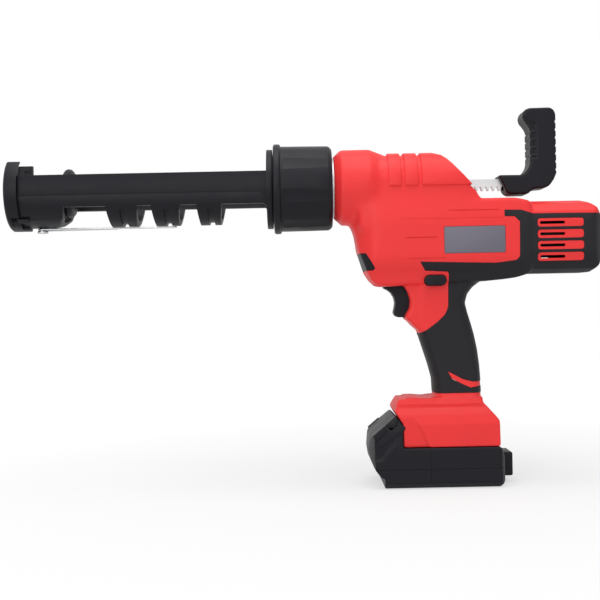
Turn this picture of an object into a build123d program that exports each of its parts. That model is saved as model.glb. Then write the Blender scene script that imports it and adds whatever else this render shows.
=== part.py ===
"""Cordless caulking tool: a battery powered cartridge gun with a rack driven plunger.

Frame: millimetres, +Z up, the muzzle points to -X, the operator's left is -Y, and the
origin is the centre of the battery's flat underside, on which the tool stands.
"""
import os
from math import acos, cos, pi, radians, sin, tan

from build123d import *

# Barrel line and housing
axis_z = 265.3
housing_wall = 2.8
rubber_depth = 1.6
barrel_radius = 33.8
barrel_mouth_radius = 27.5
barrel_front_x = -90.2
barrel_chamfer = 6.9
barrel_rear_x = -58.0
head_half_width = 30.5
head_top_rise = 27.2
pad_rise = 1.8
body_half_width = 34.0
motor_half_width = 33.0
motor_rear_x = 145.0
motor_case_top = 248.8
motor_case_bottom = 185.4
base_half_width = 37.0
base_floor_z = 35.3

# Cartridge cradle and front plate
cartridge_radius = 25.0
trough_radius = cartridge_radius + 1.0
trough_wall = 2.2
trough_top_rise = 14.0
rail_drop = 17.3
rail_groove_drop = 4.0
rail_groove_half = 0.6
band_radius = 31.0
band_pitch = 38.6
first_band_x = -276.2
band_count = 3
cradle_front_x = -369.5
cradle_rear_x = -149.4
bulkhead_thickness = 4.9
bulkhead_radius = 35.5
front_plate_radius = 33.5
front_plate_depth = 11.7
front_plate_face = 3.0
nozzle_radius = 12.5

# Collar
collar_radius = 38.0
collar_bead_radius = 40.2
collar_front_x = -143.5
collar_rear_x = -91.4
collar_lip_radius = 30.4
collar_flutes = 8
thread_radius = 31.0
thread_clearance = 0.4

# Push rod, plunger and pull handle
rack_module = 1.6
rack_height = 10.0
rack_width = 8.0
rack_front_x = -334.0
rack_rear_x = 80.0
slide_clearance = 0.12
plunger_radius = 22.0
plunger_x = -331.0
plunger_thickness = 8.4
handle_half_width = 12.5
handle_top_z = 332.6
handle_rear_x = 108.6
handle_front_x = 85.2

# Gear train
pinion_teeth = 14
shaft_radius = 4.0
running_clearance = 0.05
gear_clearance = 0.2
spur_module = 1.5
idler_teeth = 14
wheel_teeth = 30
crown_teeth = 30
crown_pinion_teeth = 10
planet_module = 0.8
sun_teeth = 12
planet_teeth = 18
planet_count = 3
pressure_angle = radians(20)
gear_case_wall = 4.0
gear_case_half_width = 21.0
case_front_x = -45.0
case_rear_x = 17.0
case_low_z = 188.0
case_high_z = 278.6
nose_radius = 27.0
nose_front_x = -131.0
thread_rear_x = -92.6
nose_bore = 22.0
rod_bush_rear_x = -112.0
rod_bush_radius = 13.0
shaft_x = -14.0
ring_outer_radius = 22.0
bearing_radius = 8.0

# Motor
motor_can_radius = 18.0
motor_front_x = 60.0
motor_can_length = 56.0
motor_shaft_radius = 1.6
magnet_front_x = 70.0
magnet_rear_x = 102.0
armature_front_x = 73.0
armature_rear_x = 99.0
armature_radius = 13.4

# Trigger, button and battery
trigger_half_width = 8.5
trigger_low_z = 148.2
trigger_high_z = 175.2
trigger_rear_x = -13.0
trigger_clearance = 0.6
switch_front_x = -5.0
spring_z = 161.5
button_half_width = 28.2
battery_half_width = 38.0
battery_wall = 2.4
battery_seam_z = 16.8
battery_top_z = 35.0
battery_rear_x = 53.5
rail_half_width = 26.0
battery_clearance = 0.3
rail_top_z = 51.6
rail_rear_x = 44.0
head_front_x = -34.8
cell_radius = 9.1
cell_length = 65.0
cell_count = 5

ring_teeth = sun_teeth + 2 * planet_teeth
rack_pitch = pi * rack_module
rack_tip_z = axis_z - rack_height / 2
pinion_radius = rack_module * pinion_teeth / 2
pinion_z = rack_tip_z + 0.9 * rack_module - pinion_radius
motor_z = pinion_z - spur_module * (idler_teeth + wheel_teeth) / 2
cut_half = body_half_width + 10
far = 400.0

os.makedirs("parts", exist_ok=True)
finished = []


def keep(part, name, colour):
    """Name a finished piece and write its file."""
    part.label = name
    part.color = Color(*colour)
    finished.append(part)
    export_step(part, f"parts/{name}.step")


red = (0.86, 0.16, 0.15)
black = (0.06, 0.06, 0.07)
rubber = (0.09, 0.09, 0.10)
steel = (0.62, 0.63, 0.65)
alloy = (0.75, 0.76, 0.78)
brass = (0.78, 0.62, 0.30)
grey = (0.36, 0.36, 0.41)
copper = (0.72, 0.40, 0.24)


def moved_out(points, grow):
    """A closed outline with every edge moved outwards by grow, and mitred corners."""
    area = sum(a[0] * b[1] - b[0] * a[1] for a, b in zip(points, points[1:] + points[:1]))
    turn = 1 if area > 0 else -1
    result = []
    for before, here, after in zip(points[-1:] + points[:-1], points, points[1:] + points[:1]):
        first = Vector(here[0] - before[0], here[1] - before[1]).normalized()
        second = Vector(after[0] - here[0], after[1] - here[1]).normalized()
        out_first = Vector(first.Y, -first.X) * turn
        out_second = Vector(second.Y, -second.X) * turn
        reach = grow / (1 + out_first.dot(out_second))
        result.append((here[0] + reach * (out_first.X + out_second.X),
                       here[1] + reach * (out_first.Y + out_second.Y)))
    return result


def side_prism(points, half_width, grow=0.0):
    """An outline of the side view, taken the same width to both sides of the middle."""
    with BuildPart() as prism:
        with BuildSketch(Plane.XZ.offset(half_width)):
            with BuildLine():
                Polyline(*moved_out(points, grow), close=True)
            make_face()
        extrude(amount=-2 * half_width)
    return prism.part


def lathe(points, height=axis_z):
    """Turn a profile of (x, radius) points about an axis along X at the given height."""
    with BuildPart() as turned:
        with BuildSketch(Plane.XZ):
            with BuildLine():
                Polyline(*[(x, height + r) for x, r in points], close=True)
            make_face()
        revolve(axis=Axis((0, 0, height), (1, 0, 0)))
    return turned.part


def tube_x(x_front, x_rear, outer, inner, height=axis_z):
    """A ring or tube about an axis along X."""
    return lathe([(x_front, inner), (x_rear, inner), (x_rear, outer), (x_front, outer)], height)


def rod_x(x_front, x_rear, radius, height=axis_z, y=0.0):
    """A round rod along X."""
    with BuildPart() as rod:
        with BuildSketch(Plane.YZ.offset(x_front)):
            with Locations((y, height)):
                Circle(radius)
        extrude(amount=x_rear - x_front)
    return rod.part


def rod_y(x, z, y_low, y_high, radius):
    """A round rod along Y."""
    with BuildPart() as rod:
        with BuildSketch(Plane.XZ.offset(-y_low)):
            with Locations((x, z)):
                Circle(radius)
        extrude(amount=-(y_high - y_low))
    return rod.part


def block(x_low, x_high, y_low, y_high, z_low, z_high):
    """A plain box between two corners."""
    with BuildPart() as box:
        with Locations(((x_low + x_high) / 2, (y_low + y_high) / 2, (z_low + z_high) / 2)):
            Box(x_high - x_low, y_high - y_low, z_high - z_low)
    return box.part


def gear_points(module, teeth, slack, first=0.0, tip_extra=-0.1, root_extra=0.25):
    """Points of an involute gear about (0, 0), with one tooth centred at the angle first."""
    pitch = module * teeth / 2
    base = pitch * cos(pressure_angle)
    tip = pitch + module * (1 + tip_extra)
    root = pitch - module * (1 + root_extra)
    half = pi / (2 * teeth) - slack / (2 * pitch)
    spread = tan(pressure_angle) - pressure_angle
    flank = []
    start = max(base, root)
    for step in range(4):
        radius = start + (tip - start) * step / 3
        roll = acos(min(1.0, base / radius))
        flank.append((radius, half + spread - (tan(roll) - roll)))
    points = []
    for tooth in range(teeth):
        centre = first + 2 * pi * tooth / teeth
        edge = [(root, flank[0][1])] + flank if root < base else flank
        for radius, angle in edge:
            points.append((radius * cos(centre - angle), radius * sin(centre - angle)))
        for radius, angle in reversed(edge):
            points.append((radius * cos(centre + angle), radius * sin(centre + angle)))
    return points


def gear(plane, centre, width, points, bore):
    """A flat gear from its outline, extruded along the plane's normal."""
    with BuildPart() as wheel:
        with BuildSketch(plane):
            with BuildLine():
                Polyline(*[(centre[0] + x, centre[1] + y) for x, y in points], close=True)
            make_face()
            if bore:
                with Locations(centre):
                    Circle(bore, mode=Mode.SUBTRACT)
        extrude(amount=width)
    return wheel.part


# Housing outlines in the side view
head_outline = [
    (-70, axis_z - 20), (-66, axis_z + head_top_rise + 1.4), (barrel_rear_x, axis_z + 30),
    (-44.7, axis_z + head_top_rise), (3.5, axis_z + head_top_rise), (9.0, 289.6), (12.8, 286.2),
    (20.7, 276.9), (28.8, 267.2), (37.7, 257.6), (46, 244), (46, 225), (-70, 225),
]
body_outline = [
    (-79, 236), (-76.2, 230.6), (-73.6, 226.6), (-71.8, 220.0), (-70.3, 209.5), (-69.0, 205.2),
    (-63.5, 189.0), (-59.1, 181.6), (-53.8, 176.2), (-47.5, 175.6), (45.7, 179.6), (58.3, 180.6),
    (69.3, 182.0), (79.1, 184.9), (81.5, 186), (81.3, motor_case_top), (72.4, 252.0),
    (67.4, 253.2), (40, 253.2), (20, 262), (-60, 262),
]
motor_outline = [
    (60, motor_case_bottom), (134.5, motor_case_bottom), (139.6, 190.3), (142.2, 195.0),
    (144.0, 209.6), (motor_rear_x, 221), (motor_rear_x - 0.2, 232), (143.4, 238.4),
    (139.6, 243.2), (134.6, 247.2), (129, motor_case_top), (60, motor_case_top),
]
base_outline = [
    (-34.5, base_floor_z), (-34.3, 55.3), (-38.1, 61.3), (-41, 66.2), (-39, 72), (-36.5, 76.2),
    (-30.7, 76.2), (-28.6, 79.1), (-26.1, 78.9), (-20.3, 77.2), (-12.6, 76.6), (-5.4, 77.6),
    (-4.4, 82), (37.4, 82), (37.6, 73.0), (43.6, 66), (46.5, 62.6), (49.6, 55), (50.4, 49),
    (50.6, base_floor_z),
]
guard_half_width = 19.5
guard_outline = [
    (-10, 182), (-33, 182), (-29.5, 176), (-26.2, 170), (-24.4, 163), (-25.2, 156),
    (-29.2, 149.6), (-29.0, 146.8), (-25.2, 144.4), (-22.0, 140.5), (-10, 130),
]
grip_sections = [
    (186, -22.0, 47.0, 22.0), (176, -22.0, 37.0, 21.6), (169, -22.0, 29.6, 21.2),
    (160, -22.0, 26.2, 20.6), (151, -22.6, 28.4, 20.2), (141, -20.6, 31.2, 19.8),
    (131.9, -16.6, 33.4, 19.4), (119, -12.6, 35.8, 19.0), (105.6, -8.2, 37.4, 19.0),
    (93, -5.0, 38.0, 19.4), (81, -4.2, 38.0, 20.2), (70, -4.2, 38.0, 21.0),
]


def barrel_form(inset):
    """The round front of the housing that stands behind the collar."""
    return lathe([
        (barrel_front_x + inset, 0), (barrel_front_x + inset, barrel_mouth_radius - inset),
        (barrel_front_x + barrel_chamfer + inset, barrel_radius - inset),
        (barrel_rear_x - inset / 2, barrel_radius - inset),
        (-44.7, head_top_rise + 1.2 - inset), (-44.7, 0),
    ])


def section_prism(x_low, x_high, half_points, corner, inset):
    """A cross section, given for one side from the bottom up, extruded along X."""
    points = half_points + [(-y, z) for y, z in reversed(half_points)]
    with BuildPart() as prism:
        with BuildSketch(Plane.YZ.offset(x_low + inset)):
            with BuildLine():
                Polyline(*moved_out(points, -inset), close=True)
            make_face()
            if corner:
                fillet(vertices(), corner)
        extrude(amount=x_high - x_low - 2 * inset)
    return prism.part


def head_form(inset):
    """The upper housing over the rack, with a rounded roof and a sloping back."""
    half = [
        (head_half_width, 225), (head_half_width, axis_z + 6),
        (head_half_width - 3.6, axis_z + 16), (head_half_width - 11, axis_z + 23.8),
        (9.5, axis_z + head_top_rise),
    ]
    section = section_prism(-69.5, 45.5, half, 6.0, inset)
    return section & side_prism(head_outline, cut_half, -inset)


def body_form(inset):
    """The middle of the housing: nose, switch room and gear room."""
    half = [
        (14, 172), (24.5, 177), (25.5, 187), (body_half_width, 197), (body_half_width, 236),
        (head_half_width + 0.4, 246), (head_half_width, 263),
    ]
    section = section_prism(-79.5, 82, half, 3.0, inset)
    with BuildPart() as plan:
        with BuildSketch(Plane.XY.offset(160)):
            with BuildLine():
                ThreePointArc((-60, -36), (-78.5 + inset, 0), (-60, 36))
                Polyline((-60, 36), (90, 36), (90, -36), (-60, -36))
            make_face()
        extrude(amount=120)
    return section & side_prism(body_outline, cut_half, -inset) & plan.part


def motor_form(inset):
    """The rear of the housing round the motor, rounded at its corners."""
    middle = (motor_case_top + motor_case_bottom) / 2
    with BuildPart() as section:
        with BuildSketch(Plane.YZ.offset(62)):
            with Locations((0, middle)):
                RectangleRounded(
                    2 * (motor_half_width - inset), motor_case_top - motor_case_bottom - 2 * inset,
                    17 - inset)
        extrude(amount=90)
    with BuildPart() as plan:
        with BuildSketch(Plane.XY.offset(170)):
            with Locations((62, 0)):
                RectangleRounded(
                    2 * (motor_rear_x - 62 - inset), 2 * (motor_half_width - inset), 16 - inset)
        extrude(amount=90)
    return section.part & plan.part & side_prism(motor_outline, cut_half, -inset)


def grip_form(inset):
    """The handle, lofted through rounded sections from the housing down to its foot."""
    with BuildPart() as handle:
        for z, front, rear, half in grip_sections:
            with BuildSketch(Plane.XY.offset(z)):
                with Locations(((front + rear) / 2, 0)):
                    RectangleRounded(rear - front - 2 * inset, 2 * (half - inset), 13 - inset)
        loft()
    return handle.part


def guard_form(inset):
    """The cheeks of the housing that reach forward on both sides of the trigger."""
    return side_prism(guard_outline, guard_half_width - inset, -inset)


def base_form(inset):
    """The foot that holds the battery rails."""
    half = [
        (base_half_width, base_floor_z), (base_half_width, 56), (base_half_width - 2.6, 64),
        (base_half_width - 8, 72), (22, 76.5), (19.6, 82),
    ]
    section = section_prism(-45, 55, half, 0, 0)
    shape = section & side_prism(base_outline, cut_half, 0)
    if not inset:
        return shape
    shrunk_half = [(max(1.0, y - inset), z - (inset if z > 60 else 0)) for y, z in half]
    inner = section_prism(-45, 55, shrunk_half, 0, 0)
    return inner & side_prism(base_outline, cut_half, -inset)


def housing_form(inset):
    """The whole housing at one depth below its outer face."""
    with BuildPart() as form:
        add(barrel_form(inset))
        add(head_form(inset))
        add(body_form(inset))
        add(motor_form(inset))
        add(grip_form(inset))
        add(guard_form(inset))
        add(base_form(inset))
    return form.part


# Regions of the side view that part the black rubber from the red shell
rubber_region = [
    (57.6, 240.2), (71.7, 239.9), (81.4, 236.7), (160, 236), (160, 165), (60, 165), (60, 81),
    (-15, 81), (-30, 120), (-22, 131), (-18.4, 132.6), (-10, 136.9), (-0.9, 143.5),
    (5.4, 149.6), (7.8, 154.1), (8.8, 158), (9.1, 185.4), (7.8, 188), (-12, 189.2),
    (-16.4, 196.5), (49.3, 194.2), (67.1, 196.3), (70.2, 199.5), (70.7, 230.1), (66.1, 234.9),
    (57.5, 235.1),
]
swoosh_region = [
    (6.8, 100.4), (20.3, 93.2), (28.9, 90.9), (60, 91.6), (60, 86.7), (34.9, 86.2),
    (26.7, 85.1), (19.2, 88.5), (10.4, 93.3),
]
lamp_region = [
    (-90, 205.8), (-63.6, 205.3), (-55.8, 192.1), (-57.6, 189.9), (-90, 189.5),
]
vent_rows = 4
vent_pitch = 9.9
vent_top_z = 228.7
vent_front_x = 85.6
vent_length = 40.7
vent_height = 8.0
slit_height = 2.6
slit_length = 22.0

outer_form = housing_form(0)
core_form = housing_form(rubber_depth)
cavity_form = housing_form(housing_wall)


def vent_slots(x_front, length, height, grow=0.0):
    """A row of round ended slots, one above the other, cut right across the housing."""
    with BuildPart() as slots:
        with BuildSketch(Plane.XZ.offset(cut_half)):
            for row in range(vent_rows):
                with Locations((x_front + length / 2, vent_top_z - row * vent_pitch)):
                    RectangleRounded(length, height, height / 2 - 0.1)
        extrude(amount=-2 * cut_half)
    return slots.part


# Black rubber skin: one moulding on each half of the housing
rubber_cutter = side_prism(rubber_region, cut_half) - side_prism(
    swoosh_region, cut_half)
rubber_cutter = rubber_cutter - vent_slots(vent_front_x, vent_length, vent_height) - core_form
rubber_skin = outer_form & rubber_cutter

# Raised pads on the roof of the housing
pad_edges = [(-42.3, -31.5), (-28.2, -16.9), (-13.4, 40.0)]
pad_low_z = axis_z - 2.2
pad_form = head_form(-pad_rise)
with BuildPart() as pads:
    for pad_front, pad_rear in pad_edges:
        add(pad_form & block(pad_front, pad_rear, -40, 40, pad_low_z, 300))

# Red shell, cut open where pieces pass through it
trigger_floor_z = trigger_low_z - trigger_clearance
trigger_slot = block(-60, 6, -trigger_half_width - 0.5, trigger_half_width + 0.5,
                     trigger_floor_z, trigger_high_z + 2 * trigger_clearance)
slot_clearance = 1.2
rack_slot = block(0, 60, -rack_width / 2 - slot_clearance, rack_width / 2 + slot_clearance,
                  rack_tip_z - slot_clearance, axis_z + rack_height / 2 + slot_clearance)
button_x, button_z = -3.0, 180.4
button_length, button_height = 19.6, 9.3


def oval_prism(grow, y_low, y_high):
    """The round ended section of the cross button."""
    with BuildPart() as prism:
        with BuildSketch(Plane.XZ.offset(-y_low)):
            with Locations((button_x, button_z)):
                RectangleRounded(button_length + 2 * grow, button_height + 2 * grow,
                                 button_height / 2 + grow - 0.05)
        extrude(amount=-(y_high - y_low))
    return prism.part


label_front_x, label_rear_x, label_low_z, label_high_z = 4.4, 57.7, 203.4, 226.8
label_depth = 0.9

# Ribs inside the shell seat the motor, the gear case, the switch and the boards
tongue_low_z, tongue_high_z = 38.6, 41.4
blade_y = (-9.0, 0.0, 9.0)
blade_front_x, blade_rear_x = 21.0, 34.0
rib_thickness = 2.4
lamp_rib_x = -56.0
gear_rib_x = -24.0
motor_rib_x = (52.0, 70.0, 106.0)
fit = 0.05
deck_z = rail_top_z + battery_clearance + 0.4
with BuildPart() as ribs:
    for rib_x in motor_rib_x:
        add(block(rib_x, rib_x + rib_thickness, -cut_half, cut_half, 180, 252))
    for rib_x in (lamp_rib_x, gear_rib_x):
        add(block(rib_x, rib_x + rib_thickness, -cut_half, cut_half, 180, 296))
    add(block(-30, 30, -cut_half, cut_half, trigger_floor_z, trigger_floor_z + rib_thickness))
    add(block(-36, 47, -cut_half, cut_half, deck_z, deck_z + rib_thickness))
motor_seat = rod_x(58, 150, motor_can_radius + fit, motor_z) + rod_x(
    case_rear_x, 59.9, ring_outer_radius + fit, motor_z) + rod_x(-95, -44, nose_radius + 2 * fit)
gear_room = block(case_front_x - 2 * fit, case_rear_x + 2 * fit, -gear_case_half_width - 2 * fit,
                  gear_case_half_width + 2 * fit, case_low_z - 2 * fit, case_high_z + 2 * fit)

# Screw bosses join the two halves
screw_radius = 1.7
screw_tip_y = -11.8
screw_seat_y = 12.05
screw_head_radius = 3.0
boss_radius = 4.2
boss_places = [
    (-66.0, 214.0), (33.0, 246.5), (133.0, 236.0), (133.0, 197.0), (-50.0, 181.5),
    (38.0, 190.0), (10.0, 108.0), (22.0, 142.0), (-28.0, 68.0), (42.0, 58.5),
]

shell = (outer_form + pads.part) - cavity_form - rubber_cutter
rib_set = (ribs.part & housing_form(housing_wall - 0.4)) - motor_seat - gear_room
boss_set = None
for boss_x, boss_z in boss_places:
    post = rod_y(boss_x, boss_z, -40, 40, boss_radius) & core_form
    boss_set = post if boss_set is None else boss_set + post
shell = shell + rib_set + boss_set
shell = shell - rod_x(barrel_front_x - 5, -58, barrel_mouth_radius - housing_wall + 2.4)
shell = shell - trigger_slot - rack_slot
shell = shell - oval_prism(0.25, -60, 60)
shell = shell - side_prism(lamp_region, cut_half)
shell = shell - vent_slots(vent_front_x + 2.3, slit_length, slit_height)
rail_room = block(-60, rail_rear_x + 0.5, -rail_half_width - battery_clearance,
                  rail_half_width + battery_clearance, 20, rail_top_z + battery_clearance)
shell = shell - rail_room
shell = shell - block(blade_front_x - 1, blade_rear_x + 1, -11, 11, deck_z - 3,
                      deck_z + rib_thickness + 0.1)
for side in (-1, 1):
    tongue_y = sorted((side * (rail_half_width - 3.1), side * (rail_half_width + 1.5)))
    shell = shell + block(-34.2, rail_rear_x, tongue_y[0], tongue_y[1], tongue_low_z,
                          tongue_high_z)
for side in (-1, 1):
    plate_y = sorted((side * (body_half_width - label_depth), side * (body_half_width + 2)))
    shell = shell - block(label_front_x, label_rear_x, plate_y[0], plate_y[1],
                          label_low_z, label_high_z)
screw_cut = None
for boss_x, boss_z in boss_places:
    hole = rod_y(boss_x, boss_z, screw_tip_y - 0.4, cut_half, screw_radius + fit)
    head = rod_y(boss_x, boss_z, screw_seat_y - fit, cut_half, screw_head_radius + 0.3)
    cut = hole + head
    screw_cut = cut if screw_cut is None else screw_cut + cut
shell = shell - screw_cut


def half_of(part, side):
    """One half of a piece that is parted along the middle, side -1 for the left."""
    if side < 0:
        return part & block(-far, far, -far, 0, -far, far)
    return part & block(-far, far, 0, far, -far, far)


for side, hand in ((-1, "left"), (1, "right")):
    keep(half_of(shell, side), f"housing_{hand}", red)
    keep(half_of(rubber_skin, side), f"rubber_grip_{hand}", rubber)
    label_y = sorted((side * (body_half_width - label_depth), side * body_half_width))
    with BuildPart() as label:
        add(block(label_front_x + 0.1, label_rear_x - 0.1, label_y[0], label_y[1],
                  label_low_z + 0.1, label_high_z - 0.1))
        fillet(label.edges().filter_by(Axis.Y), 1.5)
    keep(label.part, f"label_plate_{hand}", grey)

screws = []
for boss_x, boss_z in boss_places:
    screw = rod_y(boss_x, boss_z, screw_tip_y, screw_seat_y + fit, screw_radius) + rod_y(
        boss_x, boss_z, screw_seat_y, screw_seat_y + 2.35, screw_head_radius)
    screws.append(screw - rod_y(boss_x, boss_z, screw_seat_y + 1.15, 15, 1.2))
keep(Compound(children=screws), "housing_screws", steel)

# Work lamp under the nose: a dark window and the board behind it
lamp_window = (outer_form - housing_form(2.2)) & side_prism(
    lamp_region, cut_half, -0.15)
keep(lamp_window, "lamp_window", black)
with BuildPart() as lamp_board:
    add(block(lamp_rib_x - 1.6, lamp_rib_x - 0.05, -9, 9, 191.0, 203.0))
    add(block(-62.6, lamp_rib_x - 1.6, -2.5, 2.5, 194.6, 199.6))
keep(lamp_board.part, "lamp_board", (0.1, 0.35, 0.2))

# Gear case: a cast box round the gears, with a threaded nose that carries the collar
case_inner = gear_case_half_width - gear_case_wall
corner_inset = gear_case_wall / 2
cover_screw_radius = 1.2
cover_screw_tip_y = 8.0
cover_screw_places = [(x, z) for x in (case_front_x + corner_inset, case_rear_x - corner_inset)
                      for z in (case_low_z + corner_inset, case_high_z - 4 * corner_inset)]
corner_cut = side_prism([(case_rear_x - 3, case_high_z + 0.1),
                         (case_rear_x + 0.1, case_high_z + 0.1),
                         (case_rear_x + 0.1, case_high_z - 3)], cut_half)
rack_hole_half = rack_width / 2 + 0.6
with BuildPart() as gear_case:
    add(lathe([(nose_front_x, 0), (nose_front_x, thread_radius), (thread_rear_x, thread_radius),
               (thread_rear_x, nose_radius), (-60, nose_radius), (case_front_x, 20.8),
               (case_front_x, 0)]))
    add(block(case_front_x, case_rear_x, -gear_case_half_width, case_inner,
              case_low_z, case_high_z))
    add(lathe([(rod_bush_rear_x, 0), (rod_bush_rear_x, nose_bore), (-60, nose_bore),
               (case_front_x, 16), (case_front_x, 0)]), mode=Mode.SUBTRACT)
    add(block(case_front_x + gear_case_wall, case_rear_x - gear_case_wall, -case_inner,
              case_inner + 1, case_low_z + gear_case_wall, case_high_z - gear_case_wall),
        mode=Mode.SUBTRACT)
    add(block(case_front_x - 1, case_rear_x + 1, -rack_hole_half, rack_hole_half,
              rack_tip_z - 0.6, axis_z + rack_height / 2 + 0.6), mode=Mode.SUBTRACT)
    add(rod_x(nose_front_x - 1, rod_bush_rear_x + 1, rod_bush_radius), mode=Mode.SUBTRACT)
    for shaft_z in (pinion_z, motor_z):
        add(rod_y(shaft_x, shaft_z, -30, -10, bearing_radius), mode=Mode.SUBTRACT)
    add(rod_x(10, 20, bearing_radius, motor_z), mode=Mode.SUBTRACT)
    for screw_x, screw_z in cover_screw_places:
        add(rod_y(screw_x, screw_z, cover_screw_tip_y - 0.1, 30, cover_screw_radius + fit),
            mode=Mode.SUBTRACT)
    add(corner_cut, mode=Mode.SUBTRACT)
keep(gear_case.part, "gear_case", alloy)

with BuildPart() as case_cover:
    add(block(case_front_x, case_rear_x, case_inner, gear_case_half_width,
              case_low_z, case_high_z))
    for shaft_z in (pinion_z, motor_z):
        add(rod_y(shaft_x, shaft_z, 10, 30, bearing_radius), mode=Mode.SUBTRACT)
    for screw_x, screw_z in cover_screw_places:
        add(rod_y(screw_x, screw_z, cover_screw_tip_y - 0.1, 30, cover_screw_radius + fit),
            mode=Mode.SUBTRACT)
    add(corner_cut, mode=Mode.SUBTRACT)
keep(case_cover.part, "gear_case_cover", alloy)
cover_screws = []
for screw_x, screw_z in cover_screw_places:
    screw = rod_y(screw_x, screw_z, cover_screw_tip_y, gear_case_half_width + fit,
                  cover_screw_radius)
    head = rod_y(screw_x, screw_z, gear_case_half_width + fit, gear_case_half_width + 1.5, 2.1)
    cover_screws.append(screw + head - rod_y(screw_x, screw_z, 21.8, 30, 0.9))
keep(Compound(children=cover_screws), "cover_screws", steel)

with BuildPart() as front_bush:
    add(rod_x(nose_front_x, rod_bush_rear_x, rod_bush_radius))
    add(block(nose_front_x - 1, rod_bush_rear_x + 1, -rack_width / 2 - slide_clearance,
              rack_width / 2 + slide_clearance, rack_tip_z - slide_clearance,
              axis_z + rack_height / 2 + slide_clearance), mode=Mode.SUBTRACT)
keep(front_bush.part, "rod_bush", brass)

bearings = []
for shaft_z in (pinion_z, motor_z):
    for low_y in (-gear_case_half_width, case_inner):
        ring = rod_y(shaft_x, shaft_z, low_y, low_y + gear_case_wall, bearing_radius)
        bearings.append(ring - rod_y(shaft_x, shaft_z, -30, 30, shaft_radius + running_clearance))
bearings.append(tube_x(case_rear_x - gear_case_wall, case_rear_x, bearing_radius,
                       shaft_radius + running_clearance, motor_z))
bearings.append(tube_x(38, 43, bearing_radius, shaft_radius + running_clearance, motor_z))
can_rear_x = motor_front_x + motor_can_length
bush_radius = 4.0
for bush_x in (motor_front_x, can_rear_x + 1.5):
    bearings.append(tube_x(bush_x, bush_x + 3, bush_radius,
                           motor_shaft_radius + running_clearance, motor_z))
keep(Compound(children=bearings), "shaft_bearings", steel)

# Push rod: a flat bar with rack teeth on its underside
tooth_tip_half = rack_pitch / 4 - rack_module * tan(pressure_angle) - gear_clearance / 2
tooth_root_half = tooth_tip_half + 2.15 * rack_module * tan(pressure_angle)
root_z = rack_tip_z + 2.15 * rack_module
teeth_behind = 15
teeth_ahead = 38
rack_points = [(rack_front_x, axis_z + rack_height / 2), (rack_front_x, rack_tip_z),
               (shaft_x - teeth_ahead * rack_pitch - 3, rack_tip_z)]
for tooth in range(-teeth_ahead, teeth_behind):
    centre = shaft_x + (tooth + 0.5) * rack_pitch
    rack_points += [(centre - tooth_root_half, root_z), (centre - tooth_tip_half, rack_tip_z),
                    (centre + tooth_tip_half, rack_tip_z), (centre + tooth_root_half, root_z)]
rack_points[3] = (rack_points[2][0], root_z)
rack_points += [(rack_rear_x, root_z), (rack_rear_x, axis_z + rack_height / 2)]
pin_x, pin_z, pin_size = 72.0, axis_z + 0.8, 2.0
with BuildPart() as push_rod:
    with BuildSketch(Plane.XZ.offset(rack_width / 2)):
        with BuildLine():
            Polyline(*rack_points, close=True)
        make_face()
    extrude(amount=-rack_width)
    add(rod_y(pin_x, pin_z, -10, 10, pin_size), mode=Mode.SUBTRACT)
keep(push_rod.part, "push_rod", steel)

# Plunger: two moulded discs with a round rim between them, and the nut that holds them
rod_room = block(rack_front_x, 0, -rack_width / 2, rack_width / 2, rack_tip_z,
                 axis_z + rack_height / 2)
plunger_seam_x = plunger_x + plunger_thickness / 2
plunger_rear_x = plunger_x + plunger_thickness
backing_rear_x = -320.5
disc = lathe([(plunger_x, 0), (plunger_x, plunger_radius - 4.2),
              (plunger_x + 0.6, plunger_radius - 2.0), (plunger_x + 1.8, plunger_radius - 0.7),
              (plunger_seam_x, plunger_radius), (plunger_seam_x, 0)]) - rod_room
keep(disc, "plunger_disc", black)
backing = lathe([(plunger_seam_x, 0), (plunger_seam_x, plunger_radius - 0.1),
                 (plunger_rear_x - 2.0, plunger_radius - 0.8),
                 (plunger_rear_x - 0.6, plunger_radius - 2.4),
                 (plunger_rear_x, plunger_radius - 4.6), (plunger_rear_x, 11.0),
                 (backing_rear_x, 10.4), (backing_rear_x, 0)]) - rod_room
keep(backing, "plunger_backing", black)
with BuildPart() as plunger_nut:
    with BuildSketch(Plane.YZ.offset(rack_front_x - 1.2)):
        with Locations((0, axis_z)):
            RegularPolygon(7.0, 6)
    extrude(amount=plunger_x - rack_front_x + 1.2)
    add(rod_room, mode=Mode.SUBTRACT)
keep(plunger_nut.part, "plunger_nut", steel)

# Pull handle: an L shaped moulding pushed over the end of the rod and pinned
handle_outline = [
    (56.6, 273.2), (76.4, 273.0), (80.6, 274.8), (84.0, 279.9), (handle_front_x, 284),
    (handle_front_x, 313.5), (84.0, 315.8), (81.9, 318.8), (79.4, 321.6), (78.8, 326.4),
    (81.3, 331.0), (85.6, handle_top_z - 0.3), (103.8, handle_top_z), (107.3, 330.2),
    (handle_rear_x, 326.4), (handle_rear_x, 274.2), (106.1, 268.4), (102.1, 262.8),
    (98.1, 261.0), (87.1, 260.0), (82.8, 255.7), (66.4, 255.7), (63.0, 258.6), (61.6, 263.2),
]
with BuildPart() as pull_handle:
    with BuildSketch(Plane.XZ.offset(handle_half_width)):
        with BuildLine():
            Polyline(*handle_outline, close=True)
        make_face()
    extrude(amount=-2 * handle_half_width)
    chamfer(pull_handle.faces().filter_by(Axis.Y).edges(), 2.2)
    add(block(50, rack_rear_x, -rack_width / 2, rack_width / 2, rack_tip_z,
              axis_z + rack_height / 2), mode=Mode.SUBTRACT)
    add(rod_y(pin_x, pin_z, -7, 20, pin_size), mode=Mode.SUBTRACT)
keep(pull_handle.part, "pull_handle", black)
keep(rod_y(pin_x, pin_z, -7, handle_half_width - 0.4, pin_size), "handle_pin", steel)

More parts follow.
